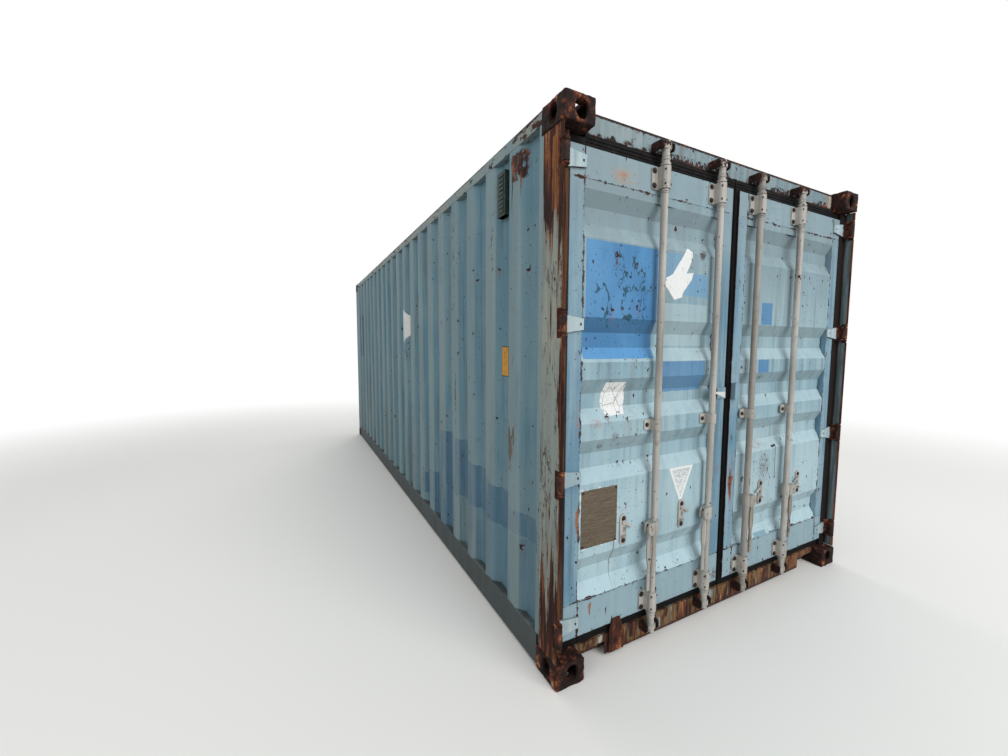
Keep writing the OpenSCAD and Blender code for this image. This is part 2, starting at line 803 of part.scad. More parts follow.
module right_door_panel() {
    color(paint) mirror([1, 0, 0]) leaf_panel_left();
}

// Rubber seal round a leaf, on the edges of its frame.
module leaf_seal_left() {
    high = header_low - seal_clearance;
    low = sill_top + seal_clearance;
    casting_low = container_height - casting_height - seal_clearance - 1;
    difference() {
        union() {
            block([leaf_x + 1, -seal_half_gap], [seal_depth, seal_back_depth],
                [max(low, casting_height + 5), min(high, casting_low)]);
            block([-casting_inner_x + 6, -seal_half_gap], [seal_depth, seal_back_depth],
                [low, high]);
        }
        block([leaf_x - 1, -meeting_half_gap], [seal_depth - 1, seal_back_depth + 1],
            [leaf_low, leaf_high]);
    }
}

module left_door_seal() {
    color(rubber) leaf_seal_left();
}

module right_door_seal() {
    color(rubber) mirror([1, 0, 0]) leaf_seal_left();
}

module left_hinge_blades() {
    hinge_blades_left();
}

module right_hinge_blades() {
    mirror([1, 0, 0]) hinge_blades_left();
}

// A bearing bolted to the leaf, with the rod's bore through it.
module rod_bearing(height, block_half) {
    difference() {
        union() {
            along_y([leaf_y - 8, leaf_y]) rounded_2d(bearing_width, height, 12);
            translate([-block_half, rod_y, -height / 2])
                cube([2 * block_half, leaf_y - rod_y, height]);
            translate([0, rod_y, -height / 2]) cylinder(r = block_half, h = height);
        }
        translate([0, rod_y, -height / 2 - 1])
            cylinder(r = rod_radius + rod_clearance, h = height + 2);
    }
}

module rod_brackets_left() {
    color(zinc) for (x = [-outer_rod_x, -inner_rod_x]) {
        translate([x, 0, bearing_high_z]) rod_bearing(bearing_height, 25);
        translate([x, 0, bearing_low_z]) rod_bearing(bearing_height, 25);
        translate([x, 0, guide_z]) rod_bearing(guide_height, 23);
    }
}

module left_rod_brackets() {
    rod_brackets_left();
}

module right_rod_brackets() {
    mirror([1, 0, 0]) rod_brackets_left();
}

// Handle retainers: an upright plate with round ends, a square hole and a short hook.
module handle_retainers_left() {
    color(zinc) for (x = [-outer_rod_x, -inner_rod_x]) {
        c = x - retainer_offset;
        along_y([leaf_y - 8, leaf_y]) difference() {
            translate([c, retainer_z]) rotate(90) slot_2d(retainer_height - 42, 21);
            translate([c - 4, retainer_z - 12]) square([14, 22]);
        }
        block([c - 14, c + 6], [leaf_depth - 26, leaf_depth - 8],
            [retainer_z - 36, retainer_z - 28]);
    }
}

module left_handle_retainers() {
    handle_retainers_left();
}

module right_handle_retainers() {
    mirror([1, 0, 0]) handle_retainers_left();
}

module left_data_plate() {
    x = -half_width + data_inset;
    color([0.36, 0.29, 0.23]) block([x, x + data_width], [leaf_depth - 3, leaf_depth],
        [data_low, data_low + data_height]);
}

// Rusty strap on the foot of the left leaf, in front of the sill, narrower at its top.
module left_bottom_strap() {
    x = -half_width + strap_inset;
    top = strap_low + strap_height;
    color(rust) along_y([rear_y + leaf_depth - 8, rear_y + leaf_depth]) polygon([
        [x, strap_low], [x + strap_width, strap_low], [x + strap_width, top - 74],
        [x + strap_width - 30, top], [x + 15, top], [x, top - 60]]);
}

// Outline of a fork: from the rod's axis outwards, with well rounded outer corners.
module fork_2d() {
    h = fork_size / 2;
    r = fork_round;
    end = handle_offset + fork_reach;
    translate([-end + r, handle_pivot_z - h]) square([end - r, fork_size]);
    translate([-end, handle_pivot_z - h + r]) square([end, fork_size - 2 * r]);
    for (s = [-1, 1]) translate([-end + r, handle_pivot_z + s * (h - r)]) circle(r);
}

// A locking rod with its cams and the fork that carries its handle. The fork points
// towards -X from the rod. Its slot is open below and at the outer end.
module lock_rod() {
    cam_low = rod_low + 18;
    cam_high = rod_high - 38;
    h = fork_size / 2;
    translate([0, rod_y, rod_low]) cylinder(r = rod_radius, h = rod_high - rod_low);
    for (z = [cam_low, cam_high]) translate([0, rod_y, z]) linear_extrude(cam_height) {
        translate([-(cam_reach - 19), 0]) circle(19);
        translate([cam_reach - 19, 0]) circle(19);
        translate([-(cam_reach - 19), -19]) square([2 * (cam_reach - 19), 38]);
    }
    for (z = [bearing_high_z + bearing_height / 2 + 4, bearing_low_z - bearing_height / 2 - 16])
        translate([0, rod_y, z]) cylinder(r = rod_radius + 6, h = 12);
    difference() {
        union() {
            along_y([rear_y + fork_front, rear_y + fork_front + fork_thickness]) fork_2d();
            translate([0, rod_y, handle_pivot_z - h]) cylinder(r = 24, h = fork_size);
        }
        translate([-handle_offset - fork_reach - 1, fork_mid - fork_slot / 2,
            handle_pivot_z - h - 1]) cube([fork_reach + 19, fork_slot, fork_size - 6]);
        translate([-handle_offset, fork_mid + fork_thickness, handle_pivot_z])
            rotate([90, 0, 0]) cylinder(r = 6.5, h = 2 * fork_thickness);
    }
}

// A handle that hangs from its pivot: pin, arm, waist and grip.
module handle() {
    x = -handle_offset;
    z = handle_pivot_z;
    half = fork_thickness / 2 - 3;
    translate([x, fork_mid + half, z]) rotate([90, 0, 0]) cylinder(r = 6, h = 2 * half);
    along_y([fork_mid - handle_thickness / 2, fork_mid + handle_thickness / 2]) {
        translate([x, z]) circle(15);
        polygon([[x - 15, z], [x - 10, z - 46], [x - 18, z - 84], [x - 18, z - 156],
            [x - 7, z - 200], [x - 10, z - 222], [x - 10, z - handle_length + 10],
            [x + 10, z - handle_length + 10], [x + 10, z - 222], [x + 8, z - 200],
            [x + 16, z - 156], [x + 16, z - 84], [x + 10, z - 46], [x + 15, z]]);
        translate([x, z - handle_length + 10]) circle(10);
    }
}

// A catch that swings on the retainer, about a pivot square to the leaf.
module catch_piece() {
    x = -retainer_offset;
    y = leaf_y - 8;
    translate([x, y, catch_z]) rotate([90, 0, 0]) cylinder(r = 5, h = 9);
    along_y([y - 7, y - 1]) translate([x, catch_z]) {
        circle(12);
        rotate(-30) {
            translate([0, -6]) square([50, 12]);
            translate([50, 0]) circle(8);
        }
    }
}

module placed_left(x) {
    translate([x, 0, 0]) children();
}

module placed_right(x) {
    mirror([1, 0, 0]) translate([x, 0, 0]) children();
}

module left_outer_rod() { color(zinc) placed_left(-outer_rod_x) lock_rod(); }
module left_inner_rod() { color(zinc) placed_left(-inner_rod_x) lock_rod(); }
module right_inner_rod() { color(zinc) placed_right(-inner_rod_x) lock_rod(); }
module right_outer_rod() { color(zinc) placed_right(-outer_rod_x) lock_rod(); }
module left_outer_handle() { color(zinc) placed_left(-outer_rod_x) handle(); }
module left_inner_handle() { color(zinc) placed_left(-inner_rod_x) handle(); }
module right_inner_handle() { color(zinc) placed_right(-inner_rod_x) handle(); }
module right_outer_handle() { color(zinc) placed_right(-outer_rod_x) handle(); }
module left_outer_catch() { color(zinc) placed_left(-outer_rod_x) catch_piece(); }
module left_inner_catch() { color(zinc) placed_left(-inner_rod_x) catch_piece(); }
module right_inner_catch() { color(zinc) placed_right(-inner_rod_x) catch_piece(); }
module right_outer_catch() { color(zinc) placed_right(-outer_rod_x) catch_piece(); }

corner_castings_rear();
corner_castings_front();
rear_posts();
front_posts();
door_header();
door_sill();
front_rails();
top_side_rails();
bottom_side_rails();
side_walls();
front_wall();
roof_panel();
cross_members();
floor_boards();
hinge_lugs();
hinge_pins();
rod_keepers();
side_ventilators();
side_marker_plate();
left_door_frame();
left_door_panel();
left_door_seal();
left_hinge_blades();
left_rod_brackets();
left_handle_retainers();
left_data_plate();
left_bottom_strap();
right_door_frame();
right_door_panel();
right_door_seal();
right_hinge_blades();
right_rod_brackets();
right_handle_retainers();
left_outer_rod();
left_inner_rod();
right_inner_rod();
right_outer_rod();
left_outer_handle();
left_inner_handle();
right_inner_handle();
right_outer_handle();
left_outer_catch();
left_inner_catch();
right_inner_catch();
right_outer_catch();
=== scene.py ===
"""Weathered twenty foot shipping container with shut rear doors, dressed round its frame."""

import logging
import math
import random
from dataclasses import dataclass
from enum import Enum

import bmesh
import bpy
from mathutils import Matrix, Vector


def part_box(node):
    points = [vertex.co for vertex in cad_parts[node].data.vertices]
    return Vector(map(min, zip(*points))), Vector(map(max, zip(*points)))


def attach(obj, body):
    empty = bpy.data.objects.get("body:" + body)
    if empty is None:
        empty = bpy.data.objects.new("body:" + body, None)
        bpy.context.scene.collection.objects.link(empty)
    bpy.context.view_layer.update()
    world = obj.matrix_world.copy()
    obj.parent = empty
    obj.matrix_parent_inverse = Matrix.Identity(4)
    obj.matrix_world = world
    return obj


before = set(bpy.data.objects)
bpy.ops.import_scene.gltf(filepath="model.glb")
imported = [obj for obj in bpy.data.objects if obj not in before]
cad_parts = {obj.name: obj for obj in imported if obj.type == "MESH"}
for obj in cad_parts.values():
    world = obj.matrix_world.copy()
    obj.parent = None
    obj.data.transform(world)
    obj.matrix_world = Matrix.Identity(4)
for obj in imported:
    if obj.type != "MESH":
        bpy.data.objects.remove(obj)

LOG = logging.getLogger("container")
Socket = bpy.types.NodeSocket
Number = float | Socket
Tint = tuple[float, float, float, float] | Socket
Point = tuple[float, float, float]
Flat = tuple[float, float]

LENGTH, WIDTH, HEIGHT = 6.058, 2.438, 2.591
REAR = -LENGTH / 2
SIDE = WIDTH / 2
LEAF_FACE = REAR + 0.066
OUTER_ROD, INNER_ROD = 0.600, 0.178
CASTING_WIDTH, CASTING_LENGTH = 0.162, 0.178

# Reach of the lugs above and below the middle of a hinge, and place of the hole in its blade.
LUG_REACH = 0.053
BLADE_HOLE = 1.076


class Plane(Enum):
    """The plane in which an outline or a pattern is laid out: its two axes and its normal."""

    DOOR = (0, 2, 1)
    WALL = (1, 2, 0)
    LEVEL = (0, 1, 2)


class Hand(Enum):
    """Side of the container, as seen by someone who looks at the doors."""

    LEFT = -1
    RIGHT = 1

    @property
    def label(self) -> str:
        """Word that the names of the frame's bodies and nodes use."""
        return self.name.lower()


class Row(Enum):
    """Place of a locking rod on its leaf, with the distance from the middle."""

    OUTER = OUTER_ROD
    INNER = INNER_ROD

    @property
    def label(self) -> str:
        """Word that the names of the frame's bodies and nodes use."""
        return self.name.lower()


def linear(red: float, green: float, blue: float) -> tuple[float, float, float, float]:
    """Turn a colour as it looks on a screen into linear light."""
    parts = [c / 12.92 if c <= 0.04045 else ((c + 0.055) / 1.055) ** 2.4 for c in (red, green, blue)]
    return (parts[0], parts[1], parts[2], 1.0)


RUST_BLACK = linear(0.10, 0.055, 0.045)
RUST_DARK = linear(0.205, 0.110, 0.085)
RUST_RED = linear(0.335, 0.175, 0.120)
RUST_ORANGE = linear(0.54, 0.33, 0.19)
RUST_PALE = linear(0.63, 0.54, 0.46)


class Recipe:
    """Node graph of one finish. Patterns are laid out in the object's own coordinates."""

    def __init__(self, name: str, tint: Tint, rough: Number) -> None:
        """Start a material.

        Args:
            name: Name of the material.
            tint: Colour of the first layer.
            rough: Roughness of the first layer.
        """
        self.material = bpy.data.materials.new(name)
        self.material.use_nodes = True
        self.tree = self.material.node_tree
        self.shader = self.tree.nodes["Principled BSDF"]
        place = self.tree.nodes.new("ShaderNodeTexCoord")
        self.place = place.outputs["Object"]
        self.normal = place.outputs["Normal"]
        self.axis = self.split(self.place)
        self.facing = self.split(self.normal)
        self.tint: Tint = tint
        self.rough: Number = rough
        self.height: Number | None = None

    def put(self, value: object, socket: Socket) -> None:
        """Link a socket, or set a plain value.

        Args:
            value: Socket to link, or plain value to set.
            socket: Socket that takes it.
        """
        if isinstance(value, Socket):
            self.tree.links.new(value, socket)
        else:
            socket.default_value = value

    def split(self, vector: Socket) -> list[Socket]:
        """Give the three parts of a vector or colour.

        Args:
            vector: The vector or colour.

        Returns:
            Sockets of its parts.
        """
        node = self.tree.nodes.new("ShaderNodeSeparateXYZ")
        self.put(vector, node.inputs[0])
        return list(node.outputs)

    def vector(self, x: Number, y: Number, z: Number = 0.0) -> Socket:
        """Join three numbers into a vector.

        Args:
            x: First number.
            y: Second number.
            z: Third number.

        Returns:
            The socket with the vector.
        """
        node = self.tree.nodes.new("ShaderNodeCombineXYZ")
        for value, socket in zip((x, y, z), node.inputs):
            self.put(value, socket)
        return node.outputs[0]

    def math(self, work: str, *values: Number) -> Socket:
        """Give the result of one arithmetic step.

        Args:
            work: Name of the operation.
            values: Its one to three operands.

        Returns:
            The socket with the result.
        """
        node = self.tree.nodes.new("ShaderNodeMath")
        node.operation = work
        for value, socket in zip(values, node.inputs):
            self.put(value, socket)
        return node.outputs[0]

    def times(self, *values: Number) -> Socket:
        """Multiply two or more numbers.

        Args:
            values: The numbers.

        Returns:
            The socket with the product.
        """
        result = values[0]
        for value in values[1:]:
            result = self.math("MULTIPLY", result, value)
        return result

    def ease(self, value: Number, low: Number, high: Number, first: Number = 0.0,
             last: Number = 1.0) -> Socket:
        """Rise smoothly from first to last while value goes from low to high.

        Args:
            value: The number that is looked at.
            low: Where the rise begins.
            high: Where it ends.
            first: Result at and before low.
            last: Result at and after high.

        Returns:
            The socket with the result.
        """
        node = self.tree.nodes.new("ShaderNodeMapRange")
        node.interpolation_type = "SMOOTHSTEP"
        for number, socket in zip((value, low, high, first, last), node.inputs):
            self.put(number, socket)
        return node.outputs[0]

    def stretch(self, scale: Point, shift: Point = (0.0, 0.0, 0.0)) -> Socket:
        """Give the place with each axis scaled, then shifted.

        Args:
            scale: Scale of each axis.
            shift: Shift of each axis.

        Returns:
            The socket with the place.
        """
        node = self.tree.nodes.new("ShaderNodeMapping")
        self.put(self.place, node.inputs["Vector"])
        node.inputs["Scale"].default_value = scale
        node.inputs["Location"].default_value = shift
        return node.outputs[0]

    def noise(self, size: float, detail: float = 3.0, along: Point = (1.0, 1.0, 1.0),
              seed: float = 0.0, rough: float = 0.55) -> Socket:
        """Make cloudy noise between 0 and 1.

        Args:
            size: Size of the largest clouds, in metres.
            detail: Number of finer layers.
            along: Scale of each axis; a small number draws the clouds out along it.
            seed: Shift that gives another pattern.
            rough: Weight of the finer layers.

        Returns:
            The socket with the result.
        """
        node = self.tree.nodes.new("ShaderNodeTexNoise")
        self.put(self.stretch(along, (seed * 3.17, seed * 1.73, seed * 2.39)), node.inputs["Vector"])
        node.inputs["Scale"].default_value = 1.0 / size
        node.inputs["Detail"].default_value = detail
        node.inputs["Roughness"].default_value = rough
        return node.outputs[0]

    def mix(self, cover: Number, under: Tint, over: Tint) -> Socket:
        """Lay one colour over another.

        Args:
            cover: Where the upper colour shows, from 0 to 1.
            under: Lower colour.
            over: Upper colour.

        Returns:
            The socket with the colour.
        """
        node = self.tree.nodes.new("ShaderNodeMix")
        node.data_type = "RGBA"
        self.put(cover, node.inputs[0])
        self.put(under, node.inputs[6])
        self.put(over, node.inputs[7])
        return node.outputs[2]

    def layer(self, cover: Number, tint: Tint, rough: float | None = None) -> None:
        """Lay a colour over what is there, and its roughness where one is given.

        Args:
            cover: Where the colour shows, from 0 to 1.
            tint: The colour.
            rough: Its roughness, or None to keep what is there.
        """
        self.tint = self.mix(cover, self.tint, tint)
        if rough is not None:
            self.rough = self.ease(cover, 0.0, 1.0, self.rough, rough)

    def raise_by(self, cover: Number, depth: float) -> None:
        """Add relief: depth in metres where cover is 1.

        Args:
            cover: Where the relief stands, from 0 to 1.
            depth: Its height.
        """
        step = self.times(cover, depth)
        self.height = step if self.height is None else self.math("ADD", self.height, step)

    def ramp(self, value: Socket, stops: list[tuple[float, Tint]]) -> Socket:
        """Give a colour from a row of colours.

        Args:
            value: Place in the row, from 0 to 1.
            stops: Places in the row and their colours.

        Returns:
            The socket with the colour.
        """
        node = self.tree.nodes.new("ShaderNodeValToRGB")
        row = node.color_ramp.elements
        for index, (place, tint) in enumerate(stops):
            stop = row[index] if index < 2 else row.new(place)
            stop.position = place
            stop.color = tint
        self.put(value, node.inputs[0])
        return node.outputs[0]

    def patch(self, plane: Plane, low: Flat, high: Flat, ragged: float, soft: float = 0.002,
              seed: float = 0.0) -> Socket:
        """Mask a rectangle with a ragged edge.

        Args:
            plane: Plane that the rectangle lies in.
            low: Its lower corner.
            high: Its upper corner.
            ragged: How far the edge wanders.
            soft: Width over which the edge fades.
            seed: Shift that gives another edge.

        Returns:
            The socket with the mask.
        """
        drift = self.noise(0.05, 5.0, seed=seed + 0.7)
        cover: Number = 1.0
        for axis, lower, upper in zip(plane.value, low, high):
            place = self.math("MULTIPLY_ADD", drift, 2 * ragged,
                              self.math("SUBTRACT", self.axis[axis], ragged))
            cover = self.times(cover, self.ease(place, lower, lower + soft),
                               self.ease(place, upper - soft, upper, 1.0, 0.0))
        return cover

    def band(self, place: Number, middle: float, half: float, soft: float) -> Socket:
        """Mask what lies within half of a middle value.

        Args:
            place: The value that is looked at.
            middle: Middle of the band.
            half: Half its width.
            soft: Width over which its edges fade.

        Returns:
            The socket with the mask.
        """
        away = self.math("ABSOLUTE", self.math("SUBTRACT", place, middle))
        return self.ease(away, half, half + soft, 1.0, 0.0)

    def polygon(self, plane: Plane, corners: list[Flat], ragged: float, soft: float) -> Socket:
        """Mask a convex outline.

        Args:
            plane: Plane that the outline lies in.
            corners: Its corners, in order round it.
            ragged: How far the edge wanders.
            soft: Width over which the edge fades.

        Returns:
            The socket with the mask.
        """
        first, second, _ = plane.value
        drift = self.times(self.math("SUBTRACT", self.noise(0.03, 5.0, seed=corners[0][0] * 9), 0.5),
                           2 * ragged)
        area = sum(a[0] * b[1] - b[0] * a[1] for a, b in zip(corners, corners[1:] + corners[:1]))
        cover: Number = 1.0
        for a, b in zip(corners, corners[1:] + corners[:1]):
            long = math.hypot(b[0] - a[0], b[1] - a[1]) * math.copysign(1.0, area)
            normal = ((a[1] - b[1]) / long, (b[0] - a[0]) / long)
            level = -(normal[0] * a[0] + normal[1] * a[1])
            away = self.math("MULTIPLY_ADD", self.axis[first], normal[0], self.math(
                "MULTIPLY_ADD", self.axis[second], normal[1], self.math("ADD", drift, level)))
            cover = self.times(cover, self.ease(away, 0.0, soft))
        return cover

    def oval(self, centre: Flat, size: Flat, soft: float, plane: Plane = Plane.DOOR) -> Socket:
        """Mask an oval that fades outwards.

        Args:
            centre: Its middle.
            size: Its half width and half height.
            soft: Share of the size over which it fades.
            plane: Plane that it lies in.

        Returns:
            The socket with the mask.
        """
        parts = []
        for axis, middle, half in zip(plane.value, centre, size):
            aside = self.math("DIVIDE", self.math("SUBTRACT", self.axis[axis], middle), half)
            parts.append(self.times(aside, aside))
        return self.ease(self.math("SQRT", self.math("ADD", *parts)), 1.0 - soft, 1.0, 1.0, 0.0)

    def trail(self, top: Flat, half: float, length: float, plane: Plane = Plane.DOOR) -> Socket:
        """Mask a run that thins out downwards.

        Args:
            top: Where it starts.
            half: Half its width at the top.
            length: How far it runs.
            plane: Plane that it lies in.

        Returns:
            The socket with the mask.
        """
        first, second, _ = plane.value
        wander = self.math("MULTIPLY_ADD", self.noise(0.12, 3.0, seed=top[0] * 5), half * 3,
                           -half * 1.5 - top[0])
        aside = self.math("ABSOLUTE", self.math("ADD", self.axis[first], wander))
        below = self.math("SUBTRACT", top[1], self.axis[second])
        breadth = self.ease(below, 0.0, length, half, half * 0.3)
        return self.times(self.ease(self.math("DIVIDE", aside, breadth), 0.4, 1.0, 1.0, 0.0),
                          self.ease(below, length * 0.5, length, 1.0, 0.0),
                          self.math("GREATER_THAN", below, 0.0))

    def chips(self, plane: Plane, spacing: float, share: Number, size: Flat, run: float,
              seed: float = 0.0) -> tuple[Socket, Socket]:
        """Scatter spots where paint has come off, each with a run of rust below it.

        Args:
            plane: Plane in which the spots are laid out.
            spacing: Mean distance between the places for spots.
            share: Share of the places that have a spot.
            size: Smallest and largest radius of a spot.
            run: Length of the runs as a multiple of the radius.
            seed: Shift that gives another pattern.

        Returns:
            The masks of the spots and of the runs.
        """
        across, along, _ = plane.value
        sway = self.noise(size[1] * 2.2, 5.0, seed=seed, rough=0.65)
        lift = self.noise(size[1] * 2.2, 5.0, seed=seed + 0.6, rough=0.65)
        u = self.math("MULTIPLY_ADD", sway, size[1] * 5.5, self.math("ADD", self.axis[across], seed * 0.37))
        v = self.math("MULTIPLY_ADD", lift, size[1] * 4.0,
                      self.math("MULTIPLY_ADD", self.axis[along], 0.62, seed * 0.53))
        cell = self.tree.nodes.new("ShaderNodeTexVoronoi")
        cell.voronoi_dimensions = "2D"
        self.put(self.vector(u, v), cell.inputs["Vector"])
        cell.inputs["Scale"].default_value = 1.0 / spacing
        chance = self.split(cell.outputs["Color"])
        core = self.split(cell.outputs["Position"])
        there = self.math("GREATER_THAN", self.math("ADD", chance[1], share), 1.0)
        radius = self.math("MULTIPLY_ADD", self.times(chance[0], chance[0]), size[1] - size[0], size[0])
        away = self.math("DIVIDE", self.times(cell.outputs["Distance"], spacing), radius)
        spots = self.times(there, self.ease(away, 0.75, 1.0, 1.0, 0.0))
        aside = self.math("ABSOLUTE", self.math("SUBTRACT", u, core[0]))
        below = self.math("SUBTRACT", core[1], v)
        reach = self.times(radius, self.math("MULTIPLY_ADD", chance[2], run, run * 0.3))
        fall = self.math("DIVIDE", below, reach)
        breadth = self.times(radius, self.ease(fall, 0.0, 1.0, 0.9, 0.15))
        edge = self.math("DIVIDE", aside, breadth)
        runs = self.times(there, self.ease(edge, 0.3, 1.0, 1.0, 0.0), self.ease(fall, 0.2, 1.0, 1.0, 0.0),
                          self.math("GREATER_THAN", below, 0.0))
        return spots, runs

    def done(self, shine: float = 0.3, metal: float = 0.0) -> bpy.types.Material:
        """Join the layers to the shader.

        Args:
            shine: Specular level.
            metal: Metallic value.

        Returns:
            The finished material.
        """
        self.put(self.tint, self.shader.inputs["Base Color"])
        self.put(self.rough, self.shader.inputs["Roughness"])
        self.shader.inputs["Specular IOR Level"].default_value = shine
        self.shader.inputs["Metallic"].default_value = metal
        if self.height is not None:
            bump = self.tree.nodes.new("ShaderNodeBump")
            bump.inputs["Strength"].default_value = 1.0
            bump.inputs["Distance"].default_value = 1.0
            self.put(self.height, bump.inputs["Height"])
            self.put(bump.outputs[0], self.shader.inputs["Normal"])
        return self.material


@dataclass(frozen=True)
class RustFinish:
    """Bare steel with layers of rust, streaked downwards."""

    name: str
    streak: float = 1.0
    grain: float = 0.035
    light: float = -0.03
    contrast: float = 1.5

    def coat(self, recipe: Recipe, cover: Number) -> None:
        """Lay the rust over a finish where cover is 1.

        Args:
            recipe: Finish that the rust is laid on.
            cover: Where the rust lies, from 0 to 1.
        """
        clouds = recipe.noise(self.grain, 8.0, (1.0, 1.0, self.streak), 1.0, 0.62)
        fine = recipe.noise(self.grain / 5, 4.0, seed=4.0)
        shift = 0.5 - 0.5 * self.contrast - 0.15 + self.light
        level = recipe.math("MULTIPLY_ADD", fine, 0.30,
                            recipe.math("MULTIPLY_ADD", clouds, self.contrast, shift))
        tint = recipe.ramp(level, [(0.30, RUST_BLACK), (0.78, RUST_PALE), (0.44, RUST_DARK), (0.56, RUST_RED),
                                   (0.67, RUST_ORANGE)])
        recipe.layer(cover, tint, 0.85)
        recipe.raise_by(recipe.times(cover, recipe.math("ADD", clouds, fine)), 0.0022)

    def make(self) -> bpy.types.Material:
        """Make the finish as a material of its own.

        Returns:
            The finished material.
        """
        recipe = Recipe(self.name, RUST_DARK, 0.85)
        self.coat(recipe, 1.0)
        return recipe.done(0.2)


@dataclass(frozen=True)
class PaintFinish:
    """Chalky old paint: mottled, streaked by rain, chipped and stained with rust."""

    name: str
    plane: Plane
    paint: tuple[float, float, float]
    chalk: tuple[float, float, float]
    grime: tuple[float, float, float] = (0.36, 0.36, 0.33)
    rust: float = 0.35
    grimy: float = 0.3

    def base(self) -> Recipe:
        """Lay the paint, its mottling, streaks and dirt.

        Returns:
            The recipe, on which a sub-assembly lays its own marks.
        """
        recipe = Recipe(self.name, linear(*self.paint), 0.62)
        recipe.layer(recipe.ease(recipe.noise(0.45, 5.0, seed=2.0), 0.40, 0.66, 0.0, 0.6),
                     linear(*self.chalk))
        deep = linear(*[c * 0.80 for c in self.paint])
        streaks = recipe.noise(0.035, 4.0, (1.0, 1.0, 0.045), 3.0)
        recipe.layer(recipe.ease(streaks, 0.50, 0.66, 0.0, 0.65), linear(*self.chalk), 0.72)
        recipe.layer(recipe.ease(streaks, 0.46, 0.30, 0.0, 0.75), deep)
        washed = recipe.noise(0.10, 5.0, (1.0, 1.0, 0.12), 4.0, 0.6)
        recipe.layer(recipe.ease(washed, 0.54, 0.72, 0.0, self.grimy), linear(*self.grime))
        blots = recipe.noise(0.09, 6.0, seed=5.0, rough=0.68)
        recipe.layer(recipe.ease(blots, 0.56, 0.72, 0.0, self.grimy), linear(*self.grime))
        grain = recipe.noise(0.004, 3.0, seed=6.0)
        recipe.layer(recipe.ease(grain, 0.35, 0.65, 0.0, 0.22), deep)
        recipe.layer(recipe.ease(recipe.facing[2], 0.75, 0.95, 0.0, 0.65), linear(0.44, 0.47, 0.46))
        recipe.raise_by(recipe.noise(0.006, 3.0, seed=8.0), 0.0003)
        return recipe

    def age(self, recipe: Recipe) -> None:
        """Add the chips, their rust runs and fine specks.

        Args:
            recipe: Finish that they are laid on.
        """
        across = recipe.math("ABSOLUTE", recipe.facing[self.plane.value[2]])
        patchy = recipe.times(recipe.ease(recipe.noise(0.7, 3.0, seed=9.0), 0.38, 0.66, 0.15, 1.0),
                              recipe.ease(across, 0.25, 0.5))
        for spacing, share, size, run, seed in (
            (0.15, self.rust * 1.2, (0.003, 0.013), 7.0, 1.0),
            (0.06, self.rust * 1.6, (0.0015, 0.0062), 5.0, 2.0),
            (0.022, self.rust * 1.4, (0.0008, 0.0025), 2.0, 3.0),
        ):
            spots, runs = recipe.chips(self.plane, spacing, recipe.times(patchy, share), size, run, seed)
            recipe.layer(recipe.times(runs, 0.4), RUST_ORANGE)
            recipe.layer(spots, RUST_BLACK if seed == 2.0 else RUST_DARK, 0.9)
            recipe.raise_by(spots, -0.0006)

    def make(self) -> bpy.types.Material:
        """Make the plain finish with no marks of a sub-assembly.

        Returns:
            The finished material.
        """
        recipe = self.base()
        self.age(recipe)
        return recipe.done()


